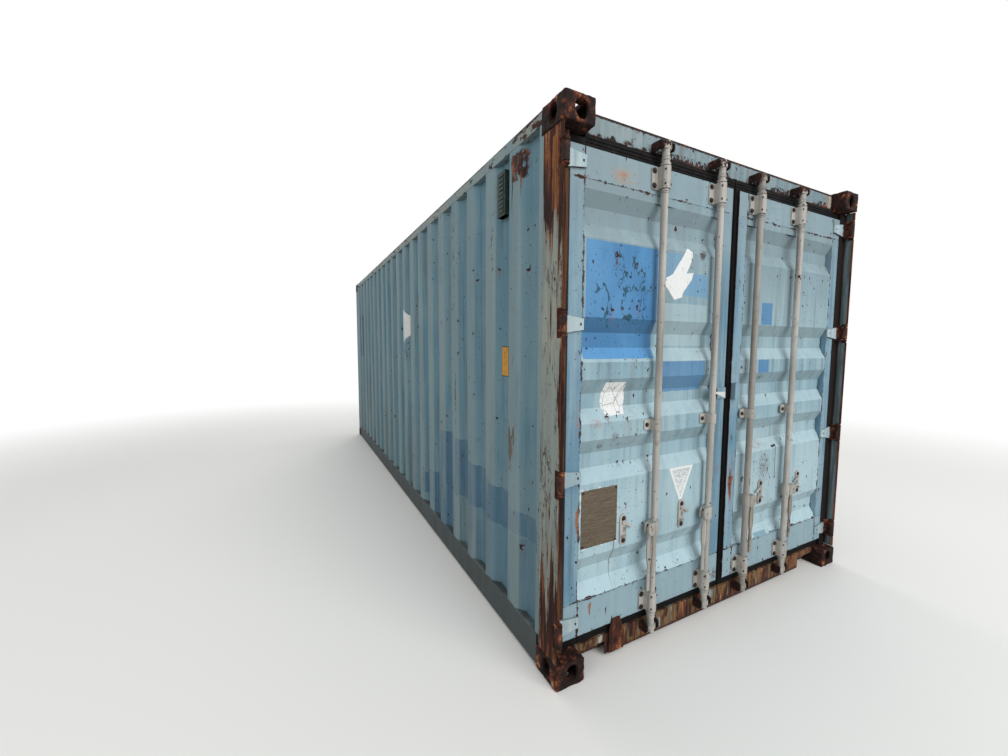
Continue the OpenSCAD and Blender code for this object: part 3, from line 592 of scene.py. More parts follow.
class Solid:
    """Collects the closed shapes of one piece and makes its object."""

    def __init__(self) -> None:
        """Start with nothing."""
        self.mesh = bmesh.new()

    def prism(self, outline: list[Flat], plane: Plane, near: float, far: float, chamfer: float = 0.0) -> None:
        """Draw an outline out along the plane's normal.

        Args:
            outline: Corners in the plane, in order.
            plane: Plane of the outline.
            near: Where the solid begins along the normal.
            far: Where it ends.
            chamfer: Width of the rounding of its edges.
        """
        first, second, third = plane.value
        rings = []
        for depth in (near, far):
            ring = []
            for u, v in outline:
                spot = [0.0, 0.0, 0.0]
                spot[first], spot[second], spot[third] = u, v, depth
                ring.append(self.mesh.verts.new(spot))
            rings.append(ring)
        faces = [self.mesh.faces.new(rings[0]), self.mesh.faces.new(rings[1][::-1])]
        for a in range(len(outline)):
            b = (a + 1) % len(outline)
            faces.append(self.mesh.faces.new((rings[0][b], rings[0][a], rings[1][a], rings[1][b])))
        if chamfer > 0:
            edges = list({edge for face in faces for edge in face.edges})
            bmesh.ops.bevel(self.mesh, geom=edges, offset=chamfer, segments=2, profile=0.6, affect="EDGES",
                            clamp_overlap=True)

    def box(self, low: Point, high: Point, chamfer: float = 0.0) -> None:
        """Add a block between two corners.

        Args:
            low: Lower corner.
            high: Upper corner.
            chamfer: Width of the rounding of its edges.
        """
        outline = [(low[0], low[2]), (high[0], low[2]), (high[0], high[2]), (low[0], high[2])]
        self.prism(outline, Plane.DOOR, low[1], high[1], chamfer)

    def across(self, outline: list[Flat], near: float, far: float) -> None:
        """Draw an outline in X and Z out along Y."""
        self.prism(outline, Plane.DOOR, near, far)

    def turned(self, profile: list[Flat], centre: Point, plane: Plane, facets: int = 20) -> None:
        """Turn a profile round the plane's normal.

        Args:
            profile: Radius and distance along the normal, from end to end.
            centre: Origin of the profile.
            plane: Plane square to the axis.
            facets: Number of sides.
        """
        first, second, third = plane.value
        rings = []
        for radius, along in profile:
            ring = []
            for step in range(facets):
                turn = 2 * math.pi * step / facets
                spot = list(centre)
                spot[first] += radius * math.cos(turn)
                spot[second] += radius * math.sin(turn)
                spot[third] += along
                ring.append(self.mesh.verts.new(spot))
            rings.append(ring)
        for below, above in zip(rings, rings[1:]):
            for a in range(facets):
                b = (a + 1) % facets
                self.mesh.faces.new((below[a], below[b], above[b], above[a]))
        self.mesh.faces.new(rings[0][::-1])
        self.mesh.faces.new(rings[-1])

    def bolt(self, centre: Point, plane: Plane, towards: float, radius: float = 0.011,
             height: float = 0.008) -> None:
        """Add a worn hexagon head on a washer.

        Args:
            centre: Middle of the head's foot.
            plane: Plane that the head sits on.
            towards: 1 or -1, the direction along the normal in which it stands out.
            radius: Half the width of the head over its corners.
            height: Height of the head.
        """
        washer = [(radius * 1.35, 0.0), (radius * 1.35, towards * 0.002), (radius * 1.2, towards * 0.003)]
        head = [(radius, towards * 0.002), (radius, towards * height * 0.8), (radius * 0.8, towards * height)]
        self.turned(washer, centre, plane, 16)
        self.turned(head, centre, plane, 6)

    def make(self, name: str, material: bpy.types.Material, body: str, slot: str) -> bpy.types.Object:
        """Turn the shapes into an object that rides on a body of the frame.

        Args:
            name: Name of the piece.
            material: Its finish.
            body: Body of the frame that carries it.
            slot: Material slot of the record; not used.

        Returns:
            The object.
        """
        bmesh.ops.recalc_face_normals(self.mesh, faces=self.mesh.faces)
        data = bpy.data.meshes.new(name)
        self.mesh.to_mesh(data)
        self.mesh.free()
        piece = bpy.data.objects.new(name, data)
        bpy.context.scene.collection.objects.link(piece)
        data.materials.append(material)
        for face in data.polygons:
            face.use_smooth = True
        data.set_sharp_from_angle(angle=math.radians(38))
        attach(piece, body)
        LOG.info("made %s, %d faces", name, len(data.polygons))
        return piece


def dress(node: str, material: bpy.types.Material, rounding: float = 0.0,
          segments: int = 2) -> bpy.types.Object:
    """Give a node of the frame its finish and round its edges.

    Args:
        node: Name of the node.
        material: Its finish.
        rounding: Width of the rounding, or 0 for none.
        segments: Number of facets in the rounding.

    Returns:
        The node's object.
    """
    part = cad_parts[node]
    part.data.materials.clear()
    part.data.materials.append(material)
    if "custom_normal" in part.data.attributes:
        part.data.attributes.remove(part.data.attributes["custom_normal"])
    for face in part.data.polygons:
        face.use_smooth = True
    weld = part.modifiers.new("joined corners", "WELD")
    weld.merge_threshold = 0.00002
    if rounding > 0:
        flat = part.modifiers.new("whole faces", "DECIMATE")
        flat.decimate_type = "DISSOLVE"
        flat.angle_limit = math.radians(0.4)
        bevel = part.modifiers.new("rounded edges", "BEVEL")
        bevel.width = rounding
        bevel.segments = segments
        bevel.limit_method = "ANGLE"
        bevel.angle_limit = math.radians(11)
        bevel.harden_normals = True
        bevel.use_clamp_overlap = True
    LOG.info("dressed %s", node)
    return part


DOOR_PAINT = PaintFinish("door paint", Plane.DOOR, (0.490, 0.612, 0.664), (0.612, 0.700, 0.724), rust=0.5)
STILE_TINT = (0.375, 0.515, 0.595)
WALL_PAINT = PaintFinish("wall paint", Plane.WALL, (0.355, 0.500, 0.560), (0.455, 0.560, 0.595), rust=0.45)
FRONT_PAINT = PaintFinish("front wall paint", Plane.DOOR, (0.365, 0.505, 0.560), (0.465, 0.565, 0.595),
                          rust=0.7)
ROOF_PAINT = PaintFinish("roof paint", Plane.LEVEL, (0.42, 0.50, 0.525), (0.53, 0.57, 0.58), rust=0.6,
                         grimy=0.6)
GEAR_COAT = PaintFinish("locking gear coat", Plane.DOOR, (0.590, 0.580, 0.558), (0.735, 0.725, 0.700),
                        (0.40, 0.36, 0.31), rust=0.45, grimy=0.6)
WORN_COAT = PaintFinish("worn handle coat", Plane.DOOR, (0.50, 0.475, 0.435), (0.64, 0.61, 0.57),
                        (0.26, 0.22, 0.18), rust=0.7, grimy=0.9)
RUST = RustFinish("rusty castings")
RUST_POST = RustFinish("rusty posts", streak=0.10, light=-0.02, contrast=1.7)
SHARP_BLUE = linear(0.230, 0.440, 0.615)
FADED_BLUE = linear(0.350, 0.545, 0.690)
STICKER_WHITE = linear(0.84, 0.85, 0.85)


def hinge_heights() -> list[float]:
    """Give the heights of the four hinges of a leaf, evenly spaced between the outermost lugs.

    Returns:
        Four heights, from the lowest up.
    """
    low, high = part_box("hinge_lugs")
    first, last = low[2] + LUG_REACH, high[2] - LUG_REACH
    return [first + (last - first) * step / 3 for step in range(4)]


@dataclass(frozen=True)
class Stain:
    """Soft rust stain on a door leaf, with a run below it."""

    place: Flat
    size: Flat
    tint: tuple[float, float, float, float]
    strength: float
    run: float = 0.0

    def lay(self, recipe: Recipe) -> None:
        """Lay the stain on a finish.

        Args:
            recipe: Finish that the stain is laid on.
        """
        ragged = recipe.noise(0.012, 5.0, seed=self.place[0] * 7, rough=0.65)
        inside = recipe.oval(self.place, self.size, 0.9)
        cover = recipe.times(inside, recipe.ease(ragged, 0.38, 0.62), self.strength)
        recipe.layer(cover, self.tint)
        if self.run > 0:
            below = recipe.trail(self.place, self.size[0] * 0.7, self.run)
            recipe.layer(recipe.times(below, self.strength), self.tint)


@dataclass
class EndFrame:
    """Castings, posts, header and sill round the doors, and the posts at the front."""

    rounding: float = 0.006
    hole_height: float = 0.061
    hole_inset: float = 0.089

    def header_finish(self) -> bpy.types.Material:
        """Paint with rust along the upper edge and ragged scale along the lower edge.

        Returns:
            The finished material.
        """
        finish = PaintFinish("header paint", Plane.DOOR, (0.415, 0.500, 0.530), (0.535, 0.590, 0.600),
                             rust=0.8,
                             grimy=0.7)
        recipe = finish.base()
        ragged = recipe.noise(0.020, 5.0, (1.0, 1.0, 0.8), 6.0, 0.72)
        broad = recipe.noise(0.20, 3.0, (1.0, 1.0, 0.1), 7.0)
        lumps = recipe.ease(broad, 0.46, 0.55, 0.15)
        rise = recipe.math("MULTIPLY_ADD", recipe.times(lumps, recipe.ease(ragged, 0.38, 0.56)), 0.036,
                           2.4905)
        low = recipe.ease(recipe.math("SUBTRACT", rise, recipe.axis[2]), 0.0, 0.002)
        top = recipe.ease(recipe.math("MULTIPLY_ADD", ragged, 0.018, recipe.axis[2]), 2.580, 2.584)
        for place, size in ((-0.965, 0.014), (-0.885, 0.012), (-0.790, 0.030), (-0.690, 0.022)):
            clump = recipe.oval((place, 2.498), (size * 1.5, size * 0.8), 0.7)
            low = recipe.math("MAXIMUM", low, recipe.times(clump, recipe.ease(ragged, 0.40, 0.47)))
        for hand in Hand:
            for row in Row:
                near = recipe.oval((hand.value * row.value, 2.500), (0.085, 0.036), 0.7)
                low = recipe.math("MAXIMUM", low, recipe.times(near, recipe.ease(ragged, 0.44, 0.50)))
        finish.age(recipe)
        run = recipe.trail((1.005, 2.585), 0.016, 0.20)
        recipe.layer(recipe.times(run, 0.8), linear(0.60, 0.42, 0.27))
        recipe.layer(recipe.patch(Plane.DOOR, (1.02, 2.45), (1.07, 2.60), 0.010, 0.006),
                     linear(0.62, 0.60, 0.54))
        RustFinish("", light=-0.16).coat(recipe, recipe.math("MAXIMUM", low, top))
        return recipe.done()

    def sill_finish(self) -> bpy.types.Material:
        """Paint that has come off in upright bands and shows rust and old primer.

        Returns:
            The finished material.
        """
        finish = PaintFinish("sill paint", Plane.DOOR, (0.52, 0.575, 0.58), (0.66, 0.67, 0.63))
        recipe = finish.base()
        bands = recipe.noise(0.085, 5.0, (1.0, 1.0, 0.16), 12.0, 0.62)
        fine = recipe.noise(0.02, 5.0, (1.0, 1.0, 0.25), 13.0, 0.6)
        ochre = recipe.noise(0.06, 4.0, (1.0, 1.0, 0.3), 14.5, 0.6)
        recipe.layer(recipe.ease(bands, 0.40, 0.43), linear(0.43, 0.34, 0.22))
        recipe.layer(recipe.ease(fine, 0.48, 0.60, 0.0, 0.75), linear(0.27, 0.20, 0.14))
        RUST_POST.coat(recipe, recipe.ease(bands, 0.48, 0.51))
        recipe.layer(recipe.times(recipe.ease(bands, 0.52, 0.56), recipe.ease(ochre, 0.48, 0.56, 0.0, 0.85)),
                     linear(0.42, 0.33, 0.20))
        low = recipe.math("MULTIPLY_ADD", fine, 0.05, recipe.axis[2])
        recipe.layer(recipe.ease(low, 0.066, 0.042, 0.0, 0.9), RUST_DARK, 0.9)
        finish.age(recipe)
        return recipe.done()

    def post_finish(self) -> bpy.types.Material:
        """Rust with strips of the old paint, mostly on the outer sides.

        Returns:
            The finished material.
        """
        recipe = PaintFinish("post paint", Plane.DOOR, (0.53, 0.575, 0.565), (0.62, 0.635, 0.59),
                             grimy=0.5).base()
        away = recipe.math("ABSOLUTE", recipe.axis[0])
        outer = recipe.ease(away, 1.2135, 1.2145)
        strips = recipe.noise(0.030, 7.0, (1.0, 1.0, 0.07), 14.0, 0.62)
        broad = recipe.noise(0.30, 3.0, (1.0, 1.0, 0.5), 15.0)
        edge = recipe.ease(recipe.axis[1], REAR + 0.040, REAR + 0.012, 0.0, 0.10)
        ends = recipe.math("MAXIMUM", recipe.ease(recipe.axis[2], 1.85, 2.42, 0.0, 0.26),
                           recipe.ease(recipe.axis[2], 0.75, 0.25, 0.0, 0.20))
        level = recipe.math("ADD", recipe.math("ADD", strips, edge),
                            recipe.math("MULTIPLY_ADD", broad, 0.20, ends))
        bare = recipe.ease(level, 0.70, 0.72)
        recipe.layer(recipe.ease(level, 0.62, 0.70, 0.0, 0.6), linear(0.45, 0.34, 0.24))
        split = recipe.noise(0.060, 6.0, (1.0, 1.0, 0.16), 16.0, 0.66)
        where = recipe.ease(recipe.noise(0.15, 4.0, (1.0, 1.0, 0.4), 18.0), 0.46, 0.56)
        cracks = recipe.times(recipe.band(split, 0.5, 0.004, 0.006), where)
        cover = recipe.math("SUBTRACT", 1.0, recipe.times(outer, recipe.math("SUBTRACT", 1.0, bare)))
        RUST_POST.coat(recipe, cover)
        lip = recipe.times(recipe.ease(recipe.axis[1], REAR + 0.030, REAR + 0.020),
                           recipe.ease(away, 1.2130, 1.2120))
        bright = recipe.noise(0.05, 6.0, (1.0, 1.0, 0.12), 19.0, 0.65)
        recipe.layer(recipe.times(lip, recipe.ease(bright, 0.46, 0.62, 0.0, 0.85)), linear(0.52, 0.29, 0.15))
        dots, runs = recipe.chips(Plane.WALL, 0.035, 0.45, (0.0012, 0.0045), 9.0, 20.0)
        recipe.layer(recipe.times(outer, runs, 0.6), linear(0.40, 0.24, 0.15))
        recipe.layer(recipe.times(outer, dots), RUST_DARK, 0.9)
        recipe.layer(recipe.times(outer, cracks), RUST_DARK, 0.9)
        recipe.raise_by(recipe.times(outer, cracks), -0.0015)
        ochre = recipe.patch(Plane.WALL, (REAR + 0.046, 2.13), (REAR + 0.092, 2.44), 0.010, 0.004, 21.0)
        grain = recipe.noise(0.020, 5.0, (1.0, 1.0, 0.08), 22.0, 0.6)
        wood = recipe.mix(recipe.ease(grain, 0.42, 0.60), linear(0.54, 0.35, 0.20), linear(0.36, 0.20, 0.12))
        recipe.layer(recipe.times(outer, ochre, 0.9), wood)
        pocket = recipe.ease(away, 1.2100, 1.2085)
        glow = recipe.noise(0.035, 5.0, (1.0, 1.0, 0.08), 17.0, 0.6)
        left = recipe.ease(recipe.axis[0], 0.1, -0.1)
        depth = recipe.ease(recipe.axis[1], REAR + 0.040, REAR + 0.060)
        right = recipe.math("SUBTRACT", 1.0, left)
        # Painted shade: deep in each post's pocket the back is painted near black, blackest on the right
        # post.
        recipe.layer(recipe.times(pocket, depth, 0.85), RUST_BLACK)
        recipe.layer(recipe.times(pocket, depth, right, 0.9), linear(0.060, 0.045, 0.040))
        recipe.layer(recipe.times(pocket, left, recipe.ease(glow, 0.50, 0.62, 0.0, 0.55)),
                     linear(0.43, 0.28, 0.17))
        inward = recipe.ease(recipe.times(recipe.facing[0], recipe.math("SIGN", recipe.axis[0])), -0.5, -0.8)
        front = recipe.ease(recipe.axis[1], REAR + 0.062, REAR + 0.050)
        shade = recipe.mix(recipe.ease(glow, 0.42, 0.60), linear(0.40, 0.47, 0.50), linear(0.29, 0.34, 0.34))
        edge = recipe.ease(recipe.axis[1], REAR + 0.018, REAR + 0.024)
        recipe.layer(recipe.times(inward, front, edge, recipe.ease(away, 1.190, 1.200)), shade, 0.7)
        return recipe.done(0.2)

    def casting_finish(self) -> bpy.types.Material:
        """Thick dark rust with pale scabs, with painted shade round the holes.

        Returns:
            The finished material.
        """
        recipe = Recipe("rusty castings", RUST_DARK, 0.85)
        RustFinish("", streak=0.8, grain=0.046, light=-0.15, contrast=2.2).coat(recipe, 1.0)
        for side in (-1, 1):
            for height in (self.hole_height, HEIGHT - self.hole_height):
                for plane, middle in ((Plane.DOOR, (side * (SIDE - self.hole_inset), height)),
                                      (Plane.WALL, (side * (-REAR - self.hole_inset), height))):
                    # Painted shade: a near-black oval round each hole makes the hole look deeper and wider.
                    worn = recipe.oval(middle, (0.050, 0.056), 0.5, plane)
                    recipe.layer(recipe.times(worn, 0.75), RUST_BLACK)
        return recipe.done(0.2)

    def corrode(self, node: str, skin: float, depth: float, rounds: int = 2) -> None:
        """Eat away the edges and faces of a rusty node.

        Args:
            node: Name of the node.
            skin: Size of the facets of its new skin.
            depth: Depth of the scale of rust.
            rounds: How many times its edges are worn down.
        """
        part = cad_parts[node]
        grid = part.modifiers.new("fine skin", "REMESH")
        grid.mode = "VOXEL"
        grid.voxel_size = skin
        smooth = part.modifiers.new("worn edges", "SMOOTH")
        smooth.factor = 0.6
        smooth.iterations = rounds
        clouds = bpy.data.textures.new("scale of rust", "CLOUDS")
        clouds.noise_scale = 0.028
        clouds.noise_depth = 3
        scale = part.modifiers.new("scale of rust", "DISPLACE")
        scale.texture = clouds
        scale.texture_coords = "LOCAL"
        scale.strength = depth
        scale.mid_level = 0.55

    def build(self) -> None:
        """Dress every node of the end frames."""
        rust = self.casting_finish()
        for node in ("corner_castings_rear", "corner_castings_front"):
            dress(node, rust, self.rounding, 3)
            self.corrode(node, 0.0052, 0.007, 9)
        dress("rear_posts", self.post_finish(), 0.003)
        dress("door_header", self.header_finish(), 0.002)
        dress("door_sill", self.sill_finish(), 0.002)
        wall = FRONT_PAINT.make()
        dress("front_posts", wall, 0.004)
        dress("front_rails", wall, 0.003)
        dress("rod_keepers", RustFinish("rusty keepers", light=-0.17).make(), 0.0025)
        self.corrode("rod_keepers", 0.0024, 0.005)


@dataclass
class Shell:
    """Side walls, front wall, roof, rails, floor and what is fixed on the walls."""

    bend: float = 0.012
    post_inner: float = 1.1445
    floor_end: float = 0.121
    post_depth: float = 0.158
    gusset_height: tuple[float, float] = (0.116, 0.172)
    gusset_depths: tuple[Flat, Flat] = ((0.052, 0.046), (0.021, 0.015))
    vent_starts: Flat = (0.528, 5.056)
    louvre_count: int = 9
    louvre_foot: float = 2.258
    louvre_step: float = 0.023
    fresh: tuple[float, float, float, float] = linear(0.215, 0.360, 0.455)

    def wall_finish(self) -> bpy.types.Material:
        """Wall paint, greyer where it stands out, with darker brushed patches on the left.

        Returns:
            The finished material.
        """
        recipe = WALL_PAINT.base()
        out = recipe.ease(recipe.math("ABSOLUTE", recipe.axis[0]), 1.200, 1.212)
        worn = recipe.noise(0.18, 5.0, (1.0, 1.0, 0.12), 21.0)
        recipe.layer(recipe.times(out, recipe.ease(worn, 0.35, 0.6, 0.25, 0.8)),
                     linear(0.475, 0.550, 0.565), 0.75)
        recipe.layer(recipe.times(recipe.ease(recipe.axis[2], 1.3, 0.2, 0.0, 0.45),
                                  recipe.ease(worn, 0.4, 0.6)),
                     linear(0.38, 0.40, 0.38))
        left = recipe.times(recipe.ease(recipe.axis[0], -1.1, -1.2),
                            recipe.ease(recipe.facing[0], 0.05, -0.05))
        for low, high, seed, strength in (
            ((-2.85, 0.17), (-1.98, 0.56), 1.0, 0.35),
            ((-2.85, 0.57), (-2.54, 0.70), 2.0, 0.75),
            ((-2.56, 0.53), (-2.28, 0.75), 3.0, 0.8),
            ((-2.31, 0.52), (-1.99, 0.80), 4.0, 0.85),
            ((-2.00, 0.50), (-1.43, 0.91), 5.0, 0.95),
            ((-1.72, 0.17), (-1.16, 0.52), 6.0, 0.9),
            ((-1.20, 0.25), (-0.90, 0.44), 7.0, 0.85),
            ((2.30, 1.39), (2.72, 2.05), 8.0, 0.7),
        ):
            cover = recipe.patch(Plane.WALL, low, high, 0.022, 0.004, seed)
            brush = recipe.noise(0.05, 4.0, (1.0, 1.0, 0.15), 30.0 + seed)
            strokes = recipe.ease(brush, 0.3, 0.55, strength * 0.6, strength)
            recipe.layer(recipe.times(left, cover, strokes), self.fresh, 0.5)
        corners = [(-0.26, 1.94), (-0.50, 1.82), (-0.54, 1.72), (-0.30, 1.58)]
        torn = recipe.polygon(Plane.WALL, corners, 0.012, 0.003)
        recipe.layer(recipe.times(left, torn), STICKER_WHITE, 0.5)
        under = recipe.patch(Plane.WALL, (-0.62, 1.40), (-0.28, 1.64), 0.06, 0.03, 9.0)
        flakes = recipe.ease(recipe.noise(0.03, 5.0, seed=31.0), 0.52, 0.58)
        recipe.layer(recipe.times(left, under, flakes, 0.8), linear(0.16, 0.26, 0.32))
        scratch = recipe.patch(Plane.WALL, (-2.62, 0.90), (-2.545, 1.16), 0.010, 0.004, 11.0)
        recipe.layer(recipe.times(left, scratch,
                                  recipe.ease(recipe.noise(0.03, 5.0, (1, 1, 0.2), 33.0), 0.5, 0.55)),
                     linear(0.33, 0.27, 0.21))
        WALL_PAINT.age(recipe)
        corner = recipe.patch(Plane.WALL, (REAR + 0.335, 2.365), (REAR + 0.455, 2.505), 0.030, 0.010, 41.0)
        ragged = recipe.noise(0.020, 6.0, (1.0, 1.0, 0.5), 42.0, 0.7)
        bare = recipe.times(corner, recipe.ease(ragged, 0.40, 0.48))
        for place, top, length in ((0.447, 2.44, 0.29), (0.372, 2.45, 0.20), (0.415, 2.42, 0.08)):
            bare = recipe.math("MAXIMUM", bare, recipe.trail((REAR + place, top), 0.007, length, Plane.WALL))
        outward = recipe.times(left, recipe.ease(recipe.math("ABSOLUTE", recipe.axis[0]), 1.199, 1.206))
        pale = recipe.noise(0.20, 4.0, (1.0, 1.0, 0.15), 44.0)
        recipe.layer(recipe.times(outward, recipe.ease(pale, 0.42, 0.60, 0.10, 0.50)),
                     linear(0.52, 0.595, 0.605))
        RustFinish("", streak=0.3).coat(recipe, recipe.times(left, bare))
        flecks = recipe.noise(0.030, 6.0, (1.0, 1.0, 0.4), 45.0, 0.7)
        for place, low, high in ((0.679, 1.99, 2.27), (1.285, 1.80, 2.38), (1.265, 0.95, 1.35)):
            line = recipe.times(recipe.band(recipe.axis[1], REAR + place, 0.010, 0.006),
                                recipe.ease(recipe.axis[2], low - 0.03, low),
                                recipe.ease(recipe.axis[2], high + 0.03, high))
            recipe.layer(recipe.times(left, line, recipe.ease(flecks, 0.52, 0.56), 0.9), RUST_DARK)
        joint = recipe.ease(recipe.axis[2], 2.523, 2.527)
        recipe.layer(recipe.times(joint, recipe.ease(worn, 0.4, 0.55, 0.2, 0.8)), linear(0.55, 0.575, 0.55))
        scale = recipe.noise(0.05, 6.0, (1.0, 0.5, 1.0), 43.0, 0.7)
        end = recipe.math("ADD", scale,
                          recipe.ease(recipe.math("ABSOLUTE", recipe.axis[1]), 2.45, 2.85, 0.0, 0.09))
        recipe.layer(recipe.times(joint, recipe.ease(end, 0.585, 0.60)), RUST_DARK, 0.9)
        ridge = recipe.ease(recipe.math("MULTIPLY_ADD", worn, 0.030, recipe.axis[2]), 2.588, 2.593)
        recipe.layer(recipe.times(ridge, 0.85), RUST_DARK)
        foot = recipe.ease(recipe.math("MULTIPLY_ADD", worn, 0.05, recipe.axis[2]), 0.205, 0.190)
        recipe.layer(recipe.times(foot, 0.8), linear(0.17, 0.16, 0.15))
        return recipe.done()

    def louvres(self) -> None:
        """Put slotted lips on the faces of the ventilators."""
        solid = Solid()
        for sign, first in zip((-1, 1), self.vent_starts):
            face = sign * (SIDE - 0.0052)
            lower, upper = REAR + first + 0.014, REAR + first + 0.070
            for step in range(self.louvre_count):
                low = self.louvre_foot + step * self.louvre_step
                lip = face + sign * 0.004
                outline = [(face, low + 0.012), (lip, low), (lip, low + 0.003), (face, low + 0.016)]
                solid.across(outline, lower, upper)
        solid.make("ventilator_louvres", self.vent_finish(), "container", "dark_plastic")

    def build(self) -> None:
        """Dress the nodes of the shell."""
        wall = self.wall_finish()
        front = FRONT_PAINT.make()
        roof = ROOF_PAINT.make()
        dress("side_walls", wall, self.bend, 3)
        dress("front_wall", front, self.bend, 3)
        dress("roof_panel", roof, 0.008, 3)
        dress("top_side_rails", wall, 0.004)
        dress("bottom_side_rails", wall, 0.003)
        under = PaintFinish("underframe coat", Plane.LEVEL, (0.14, 0.14, 0.14), (0.22, 0.21, 0.20),
                            (0.25, 0.2, 0.16), rust=0.6).make()
        dress("cross_members", under, 0.0)
        boards = self.floor_finish()
        dress("floor_boards", boards, 0.001)
        self.floor_ends(boards)
        self.gussets(front)
        dress("side_ventilators", self.vent_finish(), 0.004)
        dress("side_marker_plate", self.marker_finish(), 0.0006)

    def floor_ends(self, boards: bpy.types.Material) -> None:
        """Carry the floor on to the front wall, under the flange of the front rail.

        Args:
            boards: Finish of the floor.
        """
        low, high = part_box("floor_boards")
        width = (high[0] - low[0]) / 4
        solid = Solid()
        for board in range(4):
            left = max(low[0] + board * width + 0.0005, -self.post_inner)
            right = min(low[0] + (board + 1) * width - 0.0005, self.post_inner)
            solid.box((left, high[1] + 0.0005, low[2]), (right, high[1] + self.floor_end, high[2]), 0.001)
        solid.make("front_floor_ends", boards, "container", "floor_wood")

    def gussets(self, paint: bpy.types.Material) -> None:
        """Close the corners over the lower castings with small welded plates.

        Args:
            paint: Finish of the plates.
        """
        solid = Solid()
        low, high = self.gusset_height
        cut, lap = 0.010, 0.002
        for side in (-1, 1):
            near = side * (SIDE - CASTING_WIDTH - lap)
            far = side * (self.post_inner + lap)
            outline = [(near, low), (far, low), (far, high), (near + side * cut, high), (near, high - cut)]
            inside, outside = self.gusset_depths[0]
            solid.prism(outline, Plane.DOOR, -REAR - inside, -REAR - outside, 0.001)
            for end in (-1, 1):
                near = end * (-REAR - CASTING_LENGTH - lap)
                far = end * (-REAR - self.post_depth)
                outline = [(near, low), (far, low), (far, high), (near + end * cut, high), (near, high - cut)]
                inside, outside = self.gusset_depths[1]
                solid.prism(outline, Plane.WALL, side * (SIDE - inside), side * (SIDE - outside), 0.001)
        solid.make("corner_gussets", paint, "container", "wall_paint")

    def floor_finish(self) -> bpy.types.Material:
        """Worn hardwood boards with a long grain.

        Returns:
            The finished material.
        """
        recipe = Recipe("floor boards", linear(0.40, 0.29, 0.19), 0.7)
        grain = recipe.noise(0.05, 6.0, (1.0, 0.04, 1.0), 1.0, 0.6)
        recipe.layer(recipe.ease(grain, 0.42, 0.62), linear(0.26, 0.18, 0.12))
        recipe.layer(recipe.ease(recipe.noise(0.6, 4.0, seed=2.0), 0.5, 0.7, 0.0, 0.6),
                     linear(0.46, 0.40, 0.33))
        recipe.raise_by(grain, 0.0008)
        return recipe.done()

    def vent_finish(self) -> bpy.types.Material:
        """Dark faded plastic.

        Returns:
            The finished material.
        """
        recipe = Recipe("ventilator", linear(0.10, 0.165, 0.15), 0.6)
        recipe.layer(recipe.ease(recipe.noise(0.02, 5.0, seed=3.0), 0.5, 0.7, 0.0, 0.6),
                     linear(0.20, 0.28, 0.265))
        return recipe.done()

    def marker_finish(self) -> bpy.types.Material:
        """Faded yellow plate, bare, with dirty edges.

        Returns:
            The finished material.
        """
        recipe = Recipe("marker plate", linear(0.76, 0.55, 0.14), 0.5)
        recipe.layer(recipe.ease(recipe.noise(0.04, 5.0, seed=3.0), 0.5, 0.7, 0.0, 0.7),
                     linear(0.60, 0.39, 0.10))
        inner = recipe.patch(Plane.WALL, (-2.487, 1.393), (-2.413, 1.551), 0.002)
        recipe.layer(recipe.math("SUBTRACT", 1.0, inner), linear(0.16, 0.13, 0.10))
        spots, runs = recipe.chips(Plane.WALL, 0.03, 0.4, (0.001, 0.004), 4.0, 5.0)
        recipe.layer(runs, RUST_ORANGE)
        recipe.layer(spots, RUST_DARK)
        return recipe.done(0.4)


